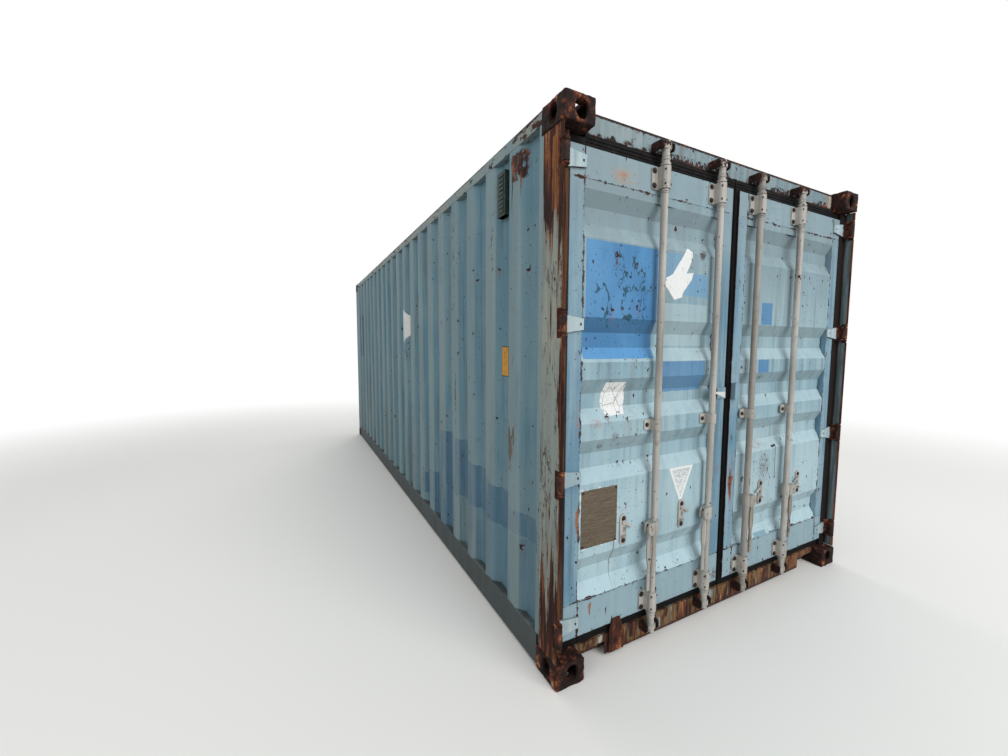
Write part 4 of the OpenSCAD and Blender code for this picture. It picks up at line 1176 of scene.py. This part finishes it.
@dataclass
class DoorLeaf:
    """One door leaf with its frame, panel, seal, hinge blades and plates."""

    hand: Hand
    seams: tuple[float, ...] = (2.2905, 0.3455)
    bearing_heights: tuple[float, float] = (2.364, 0.236)
    guide_height: float = 1.163
    retainer_height: float = 0.648
    retainer_offset: float = 0.185
    level_lips: tuple[float, ...] = (2.4370, 2.4525, 2.4680, 0.1330, 0.1500)
    upright_lips: Flat = (0.0100, 0.0205)

    @property
    def body(self) -> str:
        """Body of the frame that the leaf's pieces ride on."""
        return f"{self.hand.label}_door"

    def worn_seams(self, recipe: Recipe) -> None:
        """Let rust through the welds round the panel.

        Args:
            recipe: Finish that the rust is laid on.
        """
        gaps = recipe.noise(0.045, 5.0, seed=40.0 + self.hand.value, rough=0.7)
        wide = recipe.ease(gaps, 0.44, 0.66, 0.0012, 0.0100)
        away = recipe.math("ABSOLUTE", recipe.axis[0])
        flat = recipe.ease(recipe.facing[1], -0.55, -0.80)
        for place, middle in [(recipe.axis[2], z) for z in self.seams] + [(away, 1.0585), (away, 0.1085)]:
            distance = recipe.math("ABSOLUTE", recipe.math("SUBTRACT", place, middle))
            cover = recipe.times(flat, recipe.ease(recipe.math("DIVIDE", distance, wide), 0.7, 1.2, 1.0, 0.0))
            recipe.layer(recipe.times(cover, recipe.ease(gaps, 0.42, 0.54, 0.25, 1.0)), RUST_DARK, 0.9)

    def slope_light_and_weather(self, recipe: Recipe) -> None:
        """Paint a highlight on what faces up and shade on what faces down, then weather the paint.

        Args:
            recipe: Finish that they are laid on.
        """
        # Painted highlight on faces that look up, painted shade on faces that look down.
        recipe.layer(recipe.ease(recipe.facing[2], 0.1, 0.45, 0.0, 0.5), linear(0.66, 0.745, 0.77))
        recipe.layer(recipe.ease(recipe.facing[2], -0.1, -0.45, 0.0, 0.35), linear(0.42, 0.49, 0.51))
        self.weather(recipe)

    def weather(self, recipe: Recipe) -> None:
        """Grey and darken the paint towards the top of the leaf, and lighten it towards the foot with chalk
        and painted light from the ground.

        Args:
            recipe: Finish that is changed.
        """
        washed = recipe.noise(0.16, 5.0, (1.0, 1.0, 0.3), 47.0, 0.6)
        # Lighter towards the foot: chalk, plus painted light as if thrown up from the ground.
        chalk_and_ground_light = recipe.times(recipe.ease(recipe.axis[2], 1.5, 0.4, 0.0, 0.75),
                              recipe.ease(washed, 0.36, 0.58, 0.5))
        recipe.layer(chalk_and_ground_light, linear(0.670, 0.770, 0.805))
        dusty = recipe.times(recipe.ease(recipe.axis[2], 1.4, 2.3, 0.0, 0.95),
                             recipe.ease(washed, 0.36, 0.6, 0.65))
        recipe.layer(dusty, linear(0.455, 0.525, 0.550))

    def left_marks(self, recipe: Recipe) -> None:
        """Repainted squares and bare stickers of the left leaf.

        Args:
            recipe: Finish that they are laid on.
        """
        for low, high, tint, strength, seed in (
            ((-0.545, 1.845), (-0.375, 2.033), FADED_BLUE, 0.55, 1.0),
            ((-0.398, 1.820), (-0.205, 1.940), FADED_BLUE, 0.65, 2.0),
            ((-0.545, 1.560), (-0.205, 1.780), linear(0.62, 0.70, 0.72), 0.5, 3.0),
            ((-0.535, 1.318), (-0.200, 1.482), SHARP_BLUE, 0.75, 4.0),
        ):
            recipe.layer(recipe.times(recipe.patch(Plane.DOOR, low, high, 0.006, 0.003, seed), strength),
                         tint, 0.5)
        blue = recipe.patch(Plane.DOOR, (-1.044, 1.496), (-0.580, 2.036), 0.003, 0.002)
        shade = recipe.mix(recipe.ease(recipe.noise(0.25, 4.0, (1, 1, 0.4), 51.0), 0.4, 0.65), SHARP_BLUE,
                           linear(0.30, 0.51, 0.68))
        # The blue patch gets painted shade on faces that look down and a painted highlight on faces that look
        # up.
        dull = recipe.mix(recipe.ease(recipe.facing[2], -0.1, -0.45, 0.0, 0.5), shade,
                          linear(0.17, 0.34, 0.47))
        recipe.layer(blue, recipe.mix(recipe.ease(recipe.facing[2], 0.1, 0.45, 0.0, 0.5), dull,
                                      linear(0.36, 0.60, 0.80)), 0.45)
        peeled = recipe.noise(0.115, 2.8, (1.5, 1.0, 0.8), 52.0, 0.60)
        inside = recipe.oval((-0.80, 1.80), (0.225, 0.245), 0.3)
        lumps = recipe.ease(recipe.noise(0.14, 4.0, (1.0, 1.0, 0.6), 53.0), 0.42, 0.45)
        thick = recipe.ease(recipe.noise(0.05, 3.0, seed=57.0), 0.48, 0.68, 0.008, 0.060)
        away = recipe.math("ABSOLUTE", recipe.math("SUBTRACT", peeled, 0.5))
        lines = recipe.ease(recipe.math("DIVIDE", away, thick), 0.8, 1.2, 1.0, 0.0)
        grain = recipe.ease(recipe.noise(0.012, 4.0, seed=58.0), 0.36, 0.48, 0.6)
        recipe.layer(recipe.times(blue, inside, lumps, lines, grain), linear(0.13, 0.27, 0.33), 0.8)
        torn: Number = 0.0
        for corners in (
            [(-0.385, 2.058), (-0.368, 2.068), (-0.345, 2.052), (-0.338, 2.020), (-0.410, 1.885),
             (-0.531, 1.868)],
            [(-0.531, 1.868), (-0.524, 1.905), (-0.420, 1.960), (-0.396, 1.905), (-0.412, 1.812),
             (-0.470, 1.794)],
            [(-0.425, 1.930), (-0.329, 1.944), (-0.343, 1.905), (-0.412, 1.830), (-0.440, 1.840)],
        ):
            torn = recipe.math("MAXIMUM", torn, recipe.polygon(Plane.DOOR, corners, 0.003, 0.001))
        grey = recipe.ease(recipe.noise(0.006, 4.0, seed=54.0), 0.5, 0.62, 0.0, 0.5)
        recipe.layer(torn, recipe.mix(grey, STICKER_WHITE, linear(0.72, 0.74, 0.75)), 0.45)
        label = recipe.polygon(Plane.DOOR,
                               [(-0.905, 1.386), (-0.744, 1.384), (-0.764, 1.300), (-0.754, 1.226),
                                            (-0.896, 1.222), (-0.922, 1.290)], 0.003, 0.001)
        cracks = self.cracks(recipe, 0.052, 0.022)
        fine = self.cracks(recipe, 0.014, 0.03)
        paper = recipe.mix(recipe.times(fine, 0.35), STICKER_WHITE, linear(0.60, 0.63, 0.63))
        recipe.layer(label, recipe.mix(recipe.times(cracks, 0.8), paper, linear(0.34, 0.37, 0.38)), 0.45)
        sign = recipe.polygon(Plane.DOOR, [(-0.461, 0.909), (-0.272, 0.909), (-0.366, 0.703)], 0.001, 0.001)
        core = recipe.polygon(Plane.DOOR, [(-0.440, 0.897), (-0.293, 0.897), (-0.366, 0.737)], 0.001, 0.001)
        worn = recipe.ease(recipe.noise(0.010, 4.0, (0.4, 1.0, 1.6), 55.0), 0.45, 0.55, 0.1, 0.75)
        recipe.layer(sign, recipe.mix(recipe.times(core, worn), STICKER_WHITE, linear(0.60, 0.66, 0.68)),
                     0.45)
        run = recipe.trail((-0.837, 0.600), 0.006, 0.30)
        recipe.layer(recipe.times(run, 0.75), linear(0.42, 0.33, 0.22))
        rest = recipe.math("SUBTRACT", recipe.patch(Plane.DOOR, (-1.052, 0.592), (-0.818, 0.888), 0.003),
                           recipe.patch(Plane.DOOR, (-1.046, 0.600), (-0.826, 0.880), 0.0))
        bits = recipe.ease(recipe.noise(0.030, 4.0, seed=56.0), 0.54, 0.58)
        recipe.layer(recipe.times(rest, bits), STICKER_WHITE)

    def cracks(self, recipe: Recipe, size: float, width: float) -> Socket:
        """Mask the cracks of a dried sticker.

        Args:
            recipe: Finish that they are laid on.
            size: Mean size of the pieces.
            width: Width of the cracks as a share of the size.

        Returns:
            The mask.
        """
        cell = recipe.tree.nodes.new("ShaderNodeTexVoronoi")
        cell.feature = "DISTANCE_TO_EDGE"
        recipe.put(recipe.stretch((1.0, 0.0, 0.7)), cell.inputs["Vector"])
        cell.inputs["Scale"].default_value = 1.0 / size
        return recipe.ease(cell.outputs[0], width * 0.6, width, 1.0, 0.0)

    def right_marks(self, recipe: Recipe) -> None:
        """Repainted squares, scratches and the bare plate of the right leaf.

        Args:
            recipe: Finish that they are laid on.
        """
        for low, high, tint, strength, seed in (
            ((0.290, 1.690), (0.402, 1.822), SHARP_BLUE, 0.85, 1.0),
            ((0.285, 1.400), (0.395, 1.480), SHARP_BLUE, 0.85, 2.0),
            ((0.340, 0.185), (0.470, 0.375), linear(0.30, 0.48, 0.58), 0.6, 3.0),
            ((0.880, 0.180), (1.020, 0.288), STICKER_WHITE, 0.9, 4.0),
        ):
            recipe.layer(recipe.times(recipe.patch(Plane.DOOR, low, high, 0.004, 0.002, seed), strength),
                         tint, 0.5)
        for low, high, seed in (((0.535, 0.700), (0.545, 0.930), 5.0), ((0.475, 0.915), (0.545, 0.930), 6.0)):
            recipe.layer(recipe.patch(Plane.DOOR, low, high, 0.006, 0.002, seed), RUST_BLACK)
        dots, runs = recipe.chips(Plane.DOOR, 0.021, 0.55, (0.0015, 0.0050), 7.0, 31.0)
        area = recipe.oval((0.395, 0.850), (0.150, 0.165), 0.6)
        recipe.layer(recipe.times(area, runs, 0.7), linear(0.52, 0.38, 0.27))
        recipe.layer(recipe.times(area, dots), linear(0.36, 0.20, 0.13), 0.9)
        for stain in (
            Stain((0.330, 0.950), (0.10, 0.045), RUST_ORANGE, 0.55),
            Stain((0.400, 0.800), (0.09, 0.13), RUST_DARK, 0.75),
            Stain((0.330, 1.370), (0.06, 0.02), RUST_DARK, 0.7),
        ):
            stain.lay(recipe)

    def panel_finish(self) -> bpy.types.Material:
        """Door paint with the repainted and stained places of this leaf.

        Returns:
            The finished material.
        """
        finish = PaintFinish(f"{self.hand.label} panel paint", Plane.DOOR, DOOR_PAINT.paint, DOOR_PAINT.chalk,
                             rust=0.5)
        recipe = finish.base()
        self.slope_light_and_weather(recipe)
        plain = recipe.tint
        if self.hand is Hand.LEFT:
            for stain in (
                Stain((-0.845, 1.120), (0.035, 0.03), RUST_DARK, 0.8),
                Stain((-0.928, 1.081), (0.03, 0.03), RUST_DARK, 0.8),
                Stain((-0.967, 1.193), (0.06, 0.03), linear(0.58, 0.40, 0.36), 0.7),
                Stain((-0.250, 2.055), (0.055, 0.03), RUST_DARK, 0.8, 0.05),
            ):
                stain.lay(recipe)
            self.left_marks(recipe)
        else:
            self.right_marks(recipe)
        recipe.tint = recipe.mix(recipe.ease(recipe.facing[1], 0.05, -0.05), plain, recipe.tint)
        finish.age(recipe)
        self.worn_seams(recipe)
        return recipe.done()

    def frame_finish(self) -> bpy.types.Material:
        """Door paint with the stains of this leaf's frame.

        Returns:
            The finished material.
        """
        finish = PaintFinish(f"{self.hand.label} leaf frame paint", Plane.DOOR, STILE_TINT,
                             (0.545, 0.645, 0.690),
                             rust=0.5)
        recipe = finish.base()
        rails = recipe.math("MAXIMUM", recipe.ease(recipe.axis[2], 2.27, 2.30, 0.0, 0.5),
                            recipe.ease(recipe.axis[2], 0.36, 0.33, 0.0, 0.7))
        recipe.layer(rails, linear(0.56, 0.65, 0.68))
        upper = recipe.times(recipe.ease(recipe.axis[2], 1.7, 2.45, 0.0, 0.65), recipe.ease(recipe.noise(
            0.16, 5.0, (1.0, 1.0, 0.3), 47.0, 0.6), 0.36, 0.6, 0.6))
        recipe.layer(upper, linear(0.465, 0.525, 0.545))
        stains = {
            Hand.LEFT: (
                Stain((-0.829, 2.339), (0.13, 0.055), linear(0.60, 0.53, 0.46), 0.8),
                Stain((-0.850, 2.335), (0.06, 0.045), linear(0.60, 0.46, 0.36), 0.9),
                Stain((-0.829, 2.345), (0.03, 0.018), RUST_ORANGE, 0.7),
                Stain((-1.045, 2.296), (0.018, 0.018), linear(0.42, 0.14, 0.10), 0.9),
                Stain((-0.980, 0.315), (0.014, 0.014), RUST_ORANGE, 1.0, 0.08),
                Stain((-0.880, 0.262), (0.008, 0.012), RUST_DARK, 1.0, 0.04),
                Stain((-0.948, 0.232), (0.010, 0.014), RUST_DARK, 1.0),
                Stain((-0.840, 0.200), (0.006, 0.020), RUST_DARK, 1.0),
                Stain((-1.064, 0.790), (0.020, 0.045), RUST_ORANGE, 0.9, 0.16),
                Stain((-1.068, 1.220), (0.022, 0.11), linear(0.58, 0.38, 0.34), 0.8),
                Stain((-0.066, 0.850), (0.022, 0.05), RUST_ORANGE, 0.8),
                Stain((-0.050, 0.215), (0.035, 0.06), RUST_RED, 0.95),
            ),
            Hand.RIGHT: (
                Stain((0.064, 0.790), (0.034, 0.17), linear(0.47, 0.25, 0.15), 1.0, 0.2),
                Stain((0.060, 0.760), (0.020, 0.12), RUST_DARK, 1.0),
                Stain((0.058, 1.020), (0.018, 0.05), RUST_DARK, 0.9),
                Stain((0.064, 1.931), (0.016, 0.04), RUST_RED, 0.9),
                Stain((0.560, 0.210), (0.05, 0.03), RUST_DARK, 0.8),
            ),
        }
        plain = recipe.tint
        for stain in stains[self.hand]:
            stain.lay(recipe)
        recipe.tint = recipe.mix(recipe.ease(recipe.facing[1], 0.3, 0.2), plain, recipe.tint)
        finish.age(recipe)
        self.worn_seams(recipe)
        gaps = recipe.noise(0.05, 5.0, seed=44.0, rough=0.7)
        edge = recipe.ease(recipe.math("MULTIPLY_ADD", gaps, 0.016, recipe.axis[2]), 0.184, 0.178)
        recipe.layer(edge, RUST_DARK)
        away = recipe.math("ABSOLUTE", recipe.axis[0])
        # Painted shade: the faces at the meeting gap between the leaves are painted near black, with a ragged
        # edge.
        inner = recipe.ease(recipe.math("MULTIPLY_ADD", gaps, 0.010, away), 0.0365, 0.034)
        face = recipe.ease(recipe.axis[1], LEAF_FACE - 0.004, LEAF_FACE - 0.001)
        recipe.layer(recipe.times(inner, face), RUST_BLACK)
        wedge = recipe.polygon(Plane.DOOR,
                               [(-0.135, 1.306), (-0.135, 1.299), (-0.008, 1.258), (-0.008, 1.300)],
                               0.002, 0.002)
        proud = recipe.ease(recipe.axis[1], LEAF_FACE, LEAF_FACE - 0.002)
        recipe.layer(recipe.times(wedge, proud), linear(0.76, 0.78, 0.77))
        return recipe.done()

    def blade_finish(self) -> bpy.types.Material:
        """Door paint, rusty towards the pins, with the faces that look down darkened by rust and painted
        shade, a painted shadow line near the lower edge and a painted dark spot at each hole.

        Returns:
            The finished material.
        """
        finish = PaintFinish("hinge blade paint", Plane.DOOR, (0.56, 0.65, 0.68), (0.70, 0.76, 0.77))
        recipe = finish.base()
        finish.age(recipe)
        ragged = recipe.noise(0.02, 5.0, seed=45.0, rough=0.7)
        pin = recipe.math("MULTIPLY_ADD", ragged, 0.06, recipe.math("ABSOLUTE", recipe.axis[0]))
        RustFinish("", light=-0.06).coat(recipe, recipe.ease(pin, 1.188, 1.194))
        # Faces that look down are darkened: ragged rust, plus painted shade under the blade.
        under = recipe.times(recipe.ease(recipe.facing[2], -0.3, -0.8), recipe.ease(ragged, 0.35, 0.5))
        recipe.layer(under, RUST_DARK)
        away = recipe.math("ABSOLUTE", recipe.axis[0])
        reach = recipe.ease(recipe.band(away, BLADE_HOLE, 0.004, 0.002), 0.0, 1.0)
        face = recipe.ease(recipe.facing[1], -0.7, -0.9)
        for height in hinge_heights():
            # Painted shade: a near-black spot on the front face at each hole.
            hole = recipe.times(reach, face, recipe.band(recipe.axis[2], height, 0.005, 0.002))
            recipe.layer(hole, RUST_BLACK)
            # Painted shadow line along the lower edge of the front face.
            lower = recipe.band(recipe.axis[2], height - 0.039, 0.0015, 0.001)
            recipe.layer(recipe.times(lower, face, recipe.ease(away, 1.150, 1.165), 0.8), RUST_DARK)
        return recipe.done()

    def seal_finish(self) -> bpy.types.Material:
        """Black rubber, dusty and dull.

        Returns:
            The finished material.
        """
        recipe = Recipe(f"{self.hand.label} seal", linear(0.035, 0.035, 0.038), 0.75)
        dust = recipe.noise(0.05, 5.0, seed=3.0)
        top = recipe.ease(recipe.axis[2], 2.40, 2.43, 0.1, 0.9)
        recipe.layer(recipe.times(top, recipe.ease(dust, 0.45, 0.70, 0.0, 0.55)),
                     linear(0.17, 0.155, 0.145), 0.85)
        return recipe.done(0.12)

    def data_plate_finish(self) -> bpy.types.Material:
        """Bare plate, brown with age, with fine brushed lines.

        Returns:
            The finished material.
        """
        recipe = Recipe("data plate", linear(0.33, 0.295, 0.245), 0.6)
        lines = recipe.noise(0.0045, 1.0, (0.05, 1.0, 1.0), 3.0)
        recipe.layer(recipe.ease(lines, 0.46, 0.54, 0.0, 0.5), linear(0.45, 0.405, 0.34))
        weave = recipe.noise(0.004, 2.0, (1.0, 1.0, 0.3), 5.0)
        recipe.layer(recipe.ease(weave, 0.48, 0.60, 0.0, 0.55), linear(0.25, 0.215, 0.17))
        recipe.layer(recipe.ease(recipe.noise(0.05, 6.0, seed=4.0), 0.5, 0.75, 0.0, 0.6),
                     linear(0.29, 0.24, 0.18))
        return recipe.done()

    def fasteners(self) -> None:
        """Bolt the bearings, guides and retainers to the leaf, and the data plate to the left leaf."""
        dark = Recipe("old bolts", linear(0.065, 0.055, 0.055), 0.6)
        dark.layer(dark.ease(dark.noise(0.006, 4.0, seed=2.0), 0.5, 0.65), RUST_DARK, 0.85)
        solid = Solid()
        plate = LEAF_FACE - 0.008
        for row in Row:
            x = self.hand.value * row.value
            for z in self.bearing_heights:
                for side in (-1, 1):
                    for rise in (-0.035, 0.035):
                        solid.bolt((x + side * 0.047, plate, z + rise), Plane.DOOR, -1, 0.0105, 0.008)
                        spot = (x + side * 0.018, REAR + 0.0168, z + rise * 0.95)
                        solid.bolt(spot, Plane.DOOR, -1, 0.0042, 0.002)
            for side in (-1, 1):
                solid.bolt((x + side * 0.045, plate, self.guide_height), Plane.DOOR, -1, 0.0085, 0.007)
            for rise in (-0.056, 0.056):
                spot = (x + self.hand.value * self.retainer_offset, plate, self.retainer_height + rise)
                solid.bolt(spot, Plane.DOOR, -1, 0.0095, 0.004)
        if self.hand is Hand.LEFT:
            for x, z in ((-1.036, 0.870), (-0.836, 0.870), (-1.036, 0.610), (-0.836, 0.610)):
                solid.bolt((x, LEAF_FACE - 0.003, z), Plane.DOOR, -1, 0.004, 0.002)
        solid.make(f"{self.hand.label}_leaf_bolts", dark.done(0.3), self.body, "gear_coating")

    def ribs(self, rubber: bpy.types.Material) -> None:
        """Give the seals their lips, all round the leaf.

        Args:
            rubber: Finish of the seals.
        """
        solid = Solid()
        sign = self.hand.value
        front = REAR + 0.0805
        arc = [(math.cos(step * math.pi / 6), math.sin(step * math.pi / 6)) for step in range(7)]
        ends = sorted((sign * 0.006, sign * 1.045))
        for z in self.level_lips:
            outline = [(front - 0.005 * s, z + 0.005 * c) for c, s in arc]
            solid.prism(outline, Plane.WALL, *ends)
        for x in self.upright_lips:
            outline = [(sign * x + 0.004 * c, front - 0.004 * s) for c, s in arc]
            solid.prism(outline, Plane.LEVEL, 0.130, 2.475)
        solid.make(f"{self.hand.label}_seal_lips", rubber, self.body, "seal_rubber")

    def build(self) -> None:
        """Dress the leaf's nodes and make its small pieces."""
        side = self.hand.label
        dress(f"{side}_door_frame", self.frame_finish(), 0.003)
        dress(f"{side}_door_panel", self.panel_finish(), 0.004, 2)
        rubber = self.seal_finish()
        dress(f"{side}_door_seal", rubber, 0.003)
        dress(f"{side}_hinge_blades", self.blade_finish(), 0.004, 3)
        gear = GEAR_COAT.make()
        dress(f"{side}_rod_brackets", gear, 0.003)
        dress(f"{side}_handle_retainers", gear, 0.002)
        if self.hand is Hand.LEFT:
            dress("left_data_plate", self.data_plate_finish(), 0.0008)
            dress("left_bottom_strap",
                  RustFinish("rusty strap", streak=0.25, light=0.05, contrast=1.3).make(), 0.002)
        self.fasteners()
        self.ribs(rubber)


@dataclass
class LockingGear:
    """The four rods with their handles and catches."""

    bore: float = 0.012
    darkened_rod: float = 0.22
    ring_heights: tuple[tuple[float, float, float], ...] = (
        (2.5215, 2.5330, 0.0195), (2.4440, 2.4530, 0.0215), (2.4570, 2.4640, 0.0200),
        (2.2985, 2.3070, 0.0225), (2.2890, 2.2965, 0.0205), (0.1490, 0.1570, 0.0205),
        (0.0690, 0.0790, 0.0195),
    )

    def rod_finish(self) -> bpy.types.Material:
        """Gear coat that has rusted off at the upper cams.

        Returns:
            The finished material.
        """
        recipe = GEAR_COAT.base()
        GEAR_COAT.age(recipe)
        patchy = recipe.noise(0.022, 6.0, seed=61.0, rough=0.65)
        upper = recipe.ease(recipe.axis[2], 2.470, 2.520, 0.0, 0.23)
        RUST.coat(recipe, recipe.ease(recipe.math("ADD", patchy, upper), 0.66, 0.70))
        # The right inner rod is darker and greyer.
        third = recipe.band(recipe.axis[0], self.darkened_rod, 0.08, 0.02)
        recipe.layer(recipe.times(third, 0.5), linear(0.44, 0.42, 0.39))
        return recipe.done()

    def rings(self, hand: Hand, row: Row, coat: bpy.types.Material) -> None:
        """Put the cast rings and knobs on one rod.

        Args:
            hand: Leaf that the rod is on.
            row: Which of its two rods.
            coat: Finish of the rings.
        """
        solid = Solid()
        x = hand.value * row.value
        for low, high, radius in self.ring_heights:
            profile = [(self.bore, low), (radius - 0.003, low), (radius, low + 0.003), (radius, high - 0.003),
                       (radius - 0.003, high), (self.bore, high)]
            solid.turned(profile, (x, REAR + 0.034, 0.0), Plane.LEVEL, 28)
        solid.make(f"{hand.label}_{row.label}_rod_rings", coat, f"{hand.label}_{row.label}_rod",
                   "gear_coating")

    def build(self) -> None:
        """Dress the rods, handles and catches."""
        rods = self.rod_finish()
        gear = GEAR_COAT.make()
        worn = WORN_COAT.make()
        for hand in Hand:
            for row in Row:
                name = f"{hand.label}_{row.label}"
                dress(f"{name}_rod", rods, 0.0025)
                dress(f"{name}_handle", gear if hand is Hand.LEFT else worn, 0.003, 3)
                dress(f"{name}_catch", gear, 0.0015)
                self.rings(hand, row, rods)


@dataclass
class Hinges:
    """Lugs and pins on the posts, and the welds that hold the lugs."""

    plate: float = 0.0065
    slit: float = 0.011
    front: float = REAR + 0.0125
    back: float = REAR + 0.0415

    def welds(self, rust: bpy.types.Material) -> None:
        """Fill the slits between the lugs and the notches of the posts with rough weld beads.

        Args:
            rust: Finish of the beads.
        """
        solid = Solid()
        rng = random.Random(23)
        steps = 5
        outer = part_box("rear_posts")[1][0]
        for side in (-1, 1):
            for height in hinge_heights():
                for end in (-1, 1):
                    low = height + end * (LUG_REACH - 0.002)
                    high = height + end * (LUG_REACH + self.slit)
                    front = [self.front + rng.uniform(-0.0015, 0.003) for _ in range(steps + 1)]
                    outline = [(front[i], low + (high - low) * i / steps) for i in range(steps + 1)]
                    outline += [(self.back, high), (self.back, low)]
                    solid.prism(outline, Plane.WALL, side * (outer - self.plate - 0.001),
                                side * (outer - 0.0005), 0.001)
        solid.make("hinge_lug_welds", rust, "container", "rusty_steel")

    def build(self) -> None:
        """Dress the lugs and pins and add the welds."""
        rust = RUST.make()
        dress("hinge_lugs", rust, 0.002)
        dress("hinge_pins", rust, 0.002)
        self.welds(rust)


@dataclass
class Studio:
    """Floor, lamps, white surroundings and the camera of the picture."""

    place: Point = (-2.2148, -4.4201, 1.5537)
    yaw: float = 0.481
    pitch: float = -0.078
    roll: float = 0.004
    lens: float = 14.42
    ambient: float = 0.31
    floor_fade: tuple[float, float] = (4.5, 10.0)

    def floor(self) -> None:
        """Lay a pale floor."""
        mesh = bmesh.new()
        bmesh.ops.create_grid(mesh, x_segments=1, y_segments=1, size=60.0)
        data = bpy.data.meshes.new("floor")
        mesh.to_mesh(data)
        mesh.free()
        piece = bpy.data.objects.new("floor", data)
        bpy.context.scene.collection.objects.link(piece)
        recipe = Recipe("floor", linear(0.90, 0.90, 0.89), 0.9)
        path = recipe.tree.nodes.new("ShaderNodeLightPath")
        seen = recipe.math("MAXIMUM", path.outputs["Is Camera Ray"], path.outputs["Is Glossy Ray"])
        recipe.tint = recipe.mix(seen, linear(0.70, 0.68, 0.65), linear(0.88, 0.88, 0.87))
        away = recipe.math("SQRT", recipe.math("ADD", recipe.times(recipe.axis[0], recipe.axis[0]),
                                               recipe.times(recipe.axis[1], recipe.axis[1])))
        far = recipe.ease(away, *self.floor_fade)
        recipe.layer(recipe.times(far, seen), linear(0.0, 0.0, 0.0))
        recipe.put((1.0, 1.0, 1.0, 1.0), recipe.shader.inputs["Emission Color"])
        recipe.put(recipe.times(far, seen), recipe.shader.inputs["Emission Strength"])
        data.materials.append(recipe.done(0.1))

    def lamps(self) -> None:
        """Hang a large soft lamp on every side of the container and one above it."""
        for name, spot, aim, size, power in (
            ("front lamp", (0.8, -11.0, 5.6), (0.0, -3.0, 1.1), 8.0, 880.0),
            ("left lamp", (-9.5, -5.5, 5.5), (-1.2, -1.5, 1.2), 8.0, 380.0),
            ("right lamp", (9.5, 2.0, 6.0), (1.2, 0.5, 1.2), 8.0, 330.0),
            ("back lamp", (1.5, 11.5, 5.6), (0.0, 3.0, 1.1), 8.0, 620.0),
            ("top lamp", (-0.5, 1.5, 9.0), (0.0, 0.5, 1.3), 7.0, 230.0),
        ):
            data = bpy.data.lights.new(name, "AREA")
            data.size = size
            data.energy = power
            lamp = bpy.data.objects.new(name, data)
            bpy.context.scene.collection.objects.link(lamp)
            lamp.location = spot
            lamp.rotation_euler = (Vector(aim) - Vector(spot)).to_track_quat("-Z", "Y").to_euler()

    def surroundings(self) -> None:
        """White to the camera and in reflections, soft grey light on the object."""
        world = bpy.data.worlds.new("surroundings")
        bpy.context.scene.world = world
        world.use_nodes = True
        tree = world.node_tree
        back = tree.nodes["Background"]
        path = tree.nodes.new("ShaderNodeLightPath")
        first = tree.nodes.new("ShaderNodeMath")
        second = tree.nodes.new("ShaderNodeMath")
        strength = tree.nodes.new("ShaderNodeMapRange")
        first.operation = second.operation = "MAXIMUM"
        tree.links.new(path.outputs["Is Camera Ray"], first.inputs[0])
        tree.links.new(path.outputs["Is Glossy Ray"], first.inputs[1])
        tree.links.new(first.outputs[0], second.inputs[0])
        tree.links.new(path.outputs["Is Transmission Ray"], second.inputs[1])
        tree.links.new(second.outputs[0], strength.inputs["Value"])
        strength.inputs["To Min"].default_value = self.ambient
        strength.inputs["To Max"].default_value = 1.0
        tree.links.new(strength.outputs[0], back.inputs["Strength"])
        back.inputs["Color"].default_value = (1.0, 1.0, 1.0, 1.0)

    def camera(self) -> None:
        """Place the camera where the photograph was taken."""
        data = bpy.data.cameras.new("camera")
        data.lens = self.lens
        data.sensor_width = 36.0
        data.clip_start = 0.05
        data.clip_end = 200.0
        camera = bpy.data.objects.new("camera", data)
        bpy.context.scene.collection.objects.link(camera)
        ahead = Vector((math.sin(self.yaw) * math.cos(self.pitch), math.cos(self.yaw) * math.cos(self.pitch),
                        math.sin(self.pitch)))
        level = Vector((math.cos(self.yaw), -math.sin(self.yaw), 0.0))
        above = level.cross(ahead)
        right = level * math.cos(self.roll) + above * math.sin(self.roll)
        up = above * math.cos(self.roll) - level * math.sin(self.roll)
        turn = Matrix((right, up, -ahead)).transposed()
        camera.matrix_world = Matrix.Translation(Vector(self.place)) @ turn.to_4x4()
        bpy.context.scene.camera = camera

    def build(self) -> None:
        """Set up the whole studio."""
        self.floor()
        self.lamps()
        self.surroundings()
        self.camera()
        bpy.context.scene.view_settings.view_transform = "Standard"


def main() -> None:
    """Build the sub-assemblies in order and note the sizes."""
    logging.basicConfig(level=logging.INFO, format="%(message)s")
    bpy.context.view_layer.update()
    EndFrame().build()
    shell = Shell()
    shell.build()
    shell.louvres()
    Hinges().build()
    for hand in Hand:
        DoorLeaf(hand).build()
    LockingGear().build()
    Studio().build()


if __name__ == "__main__":
    main()
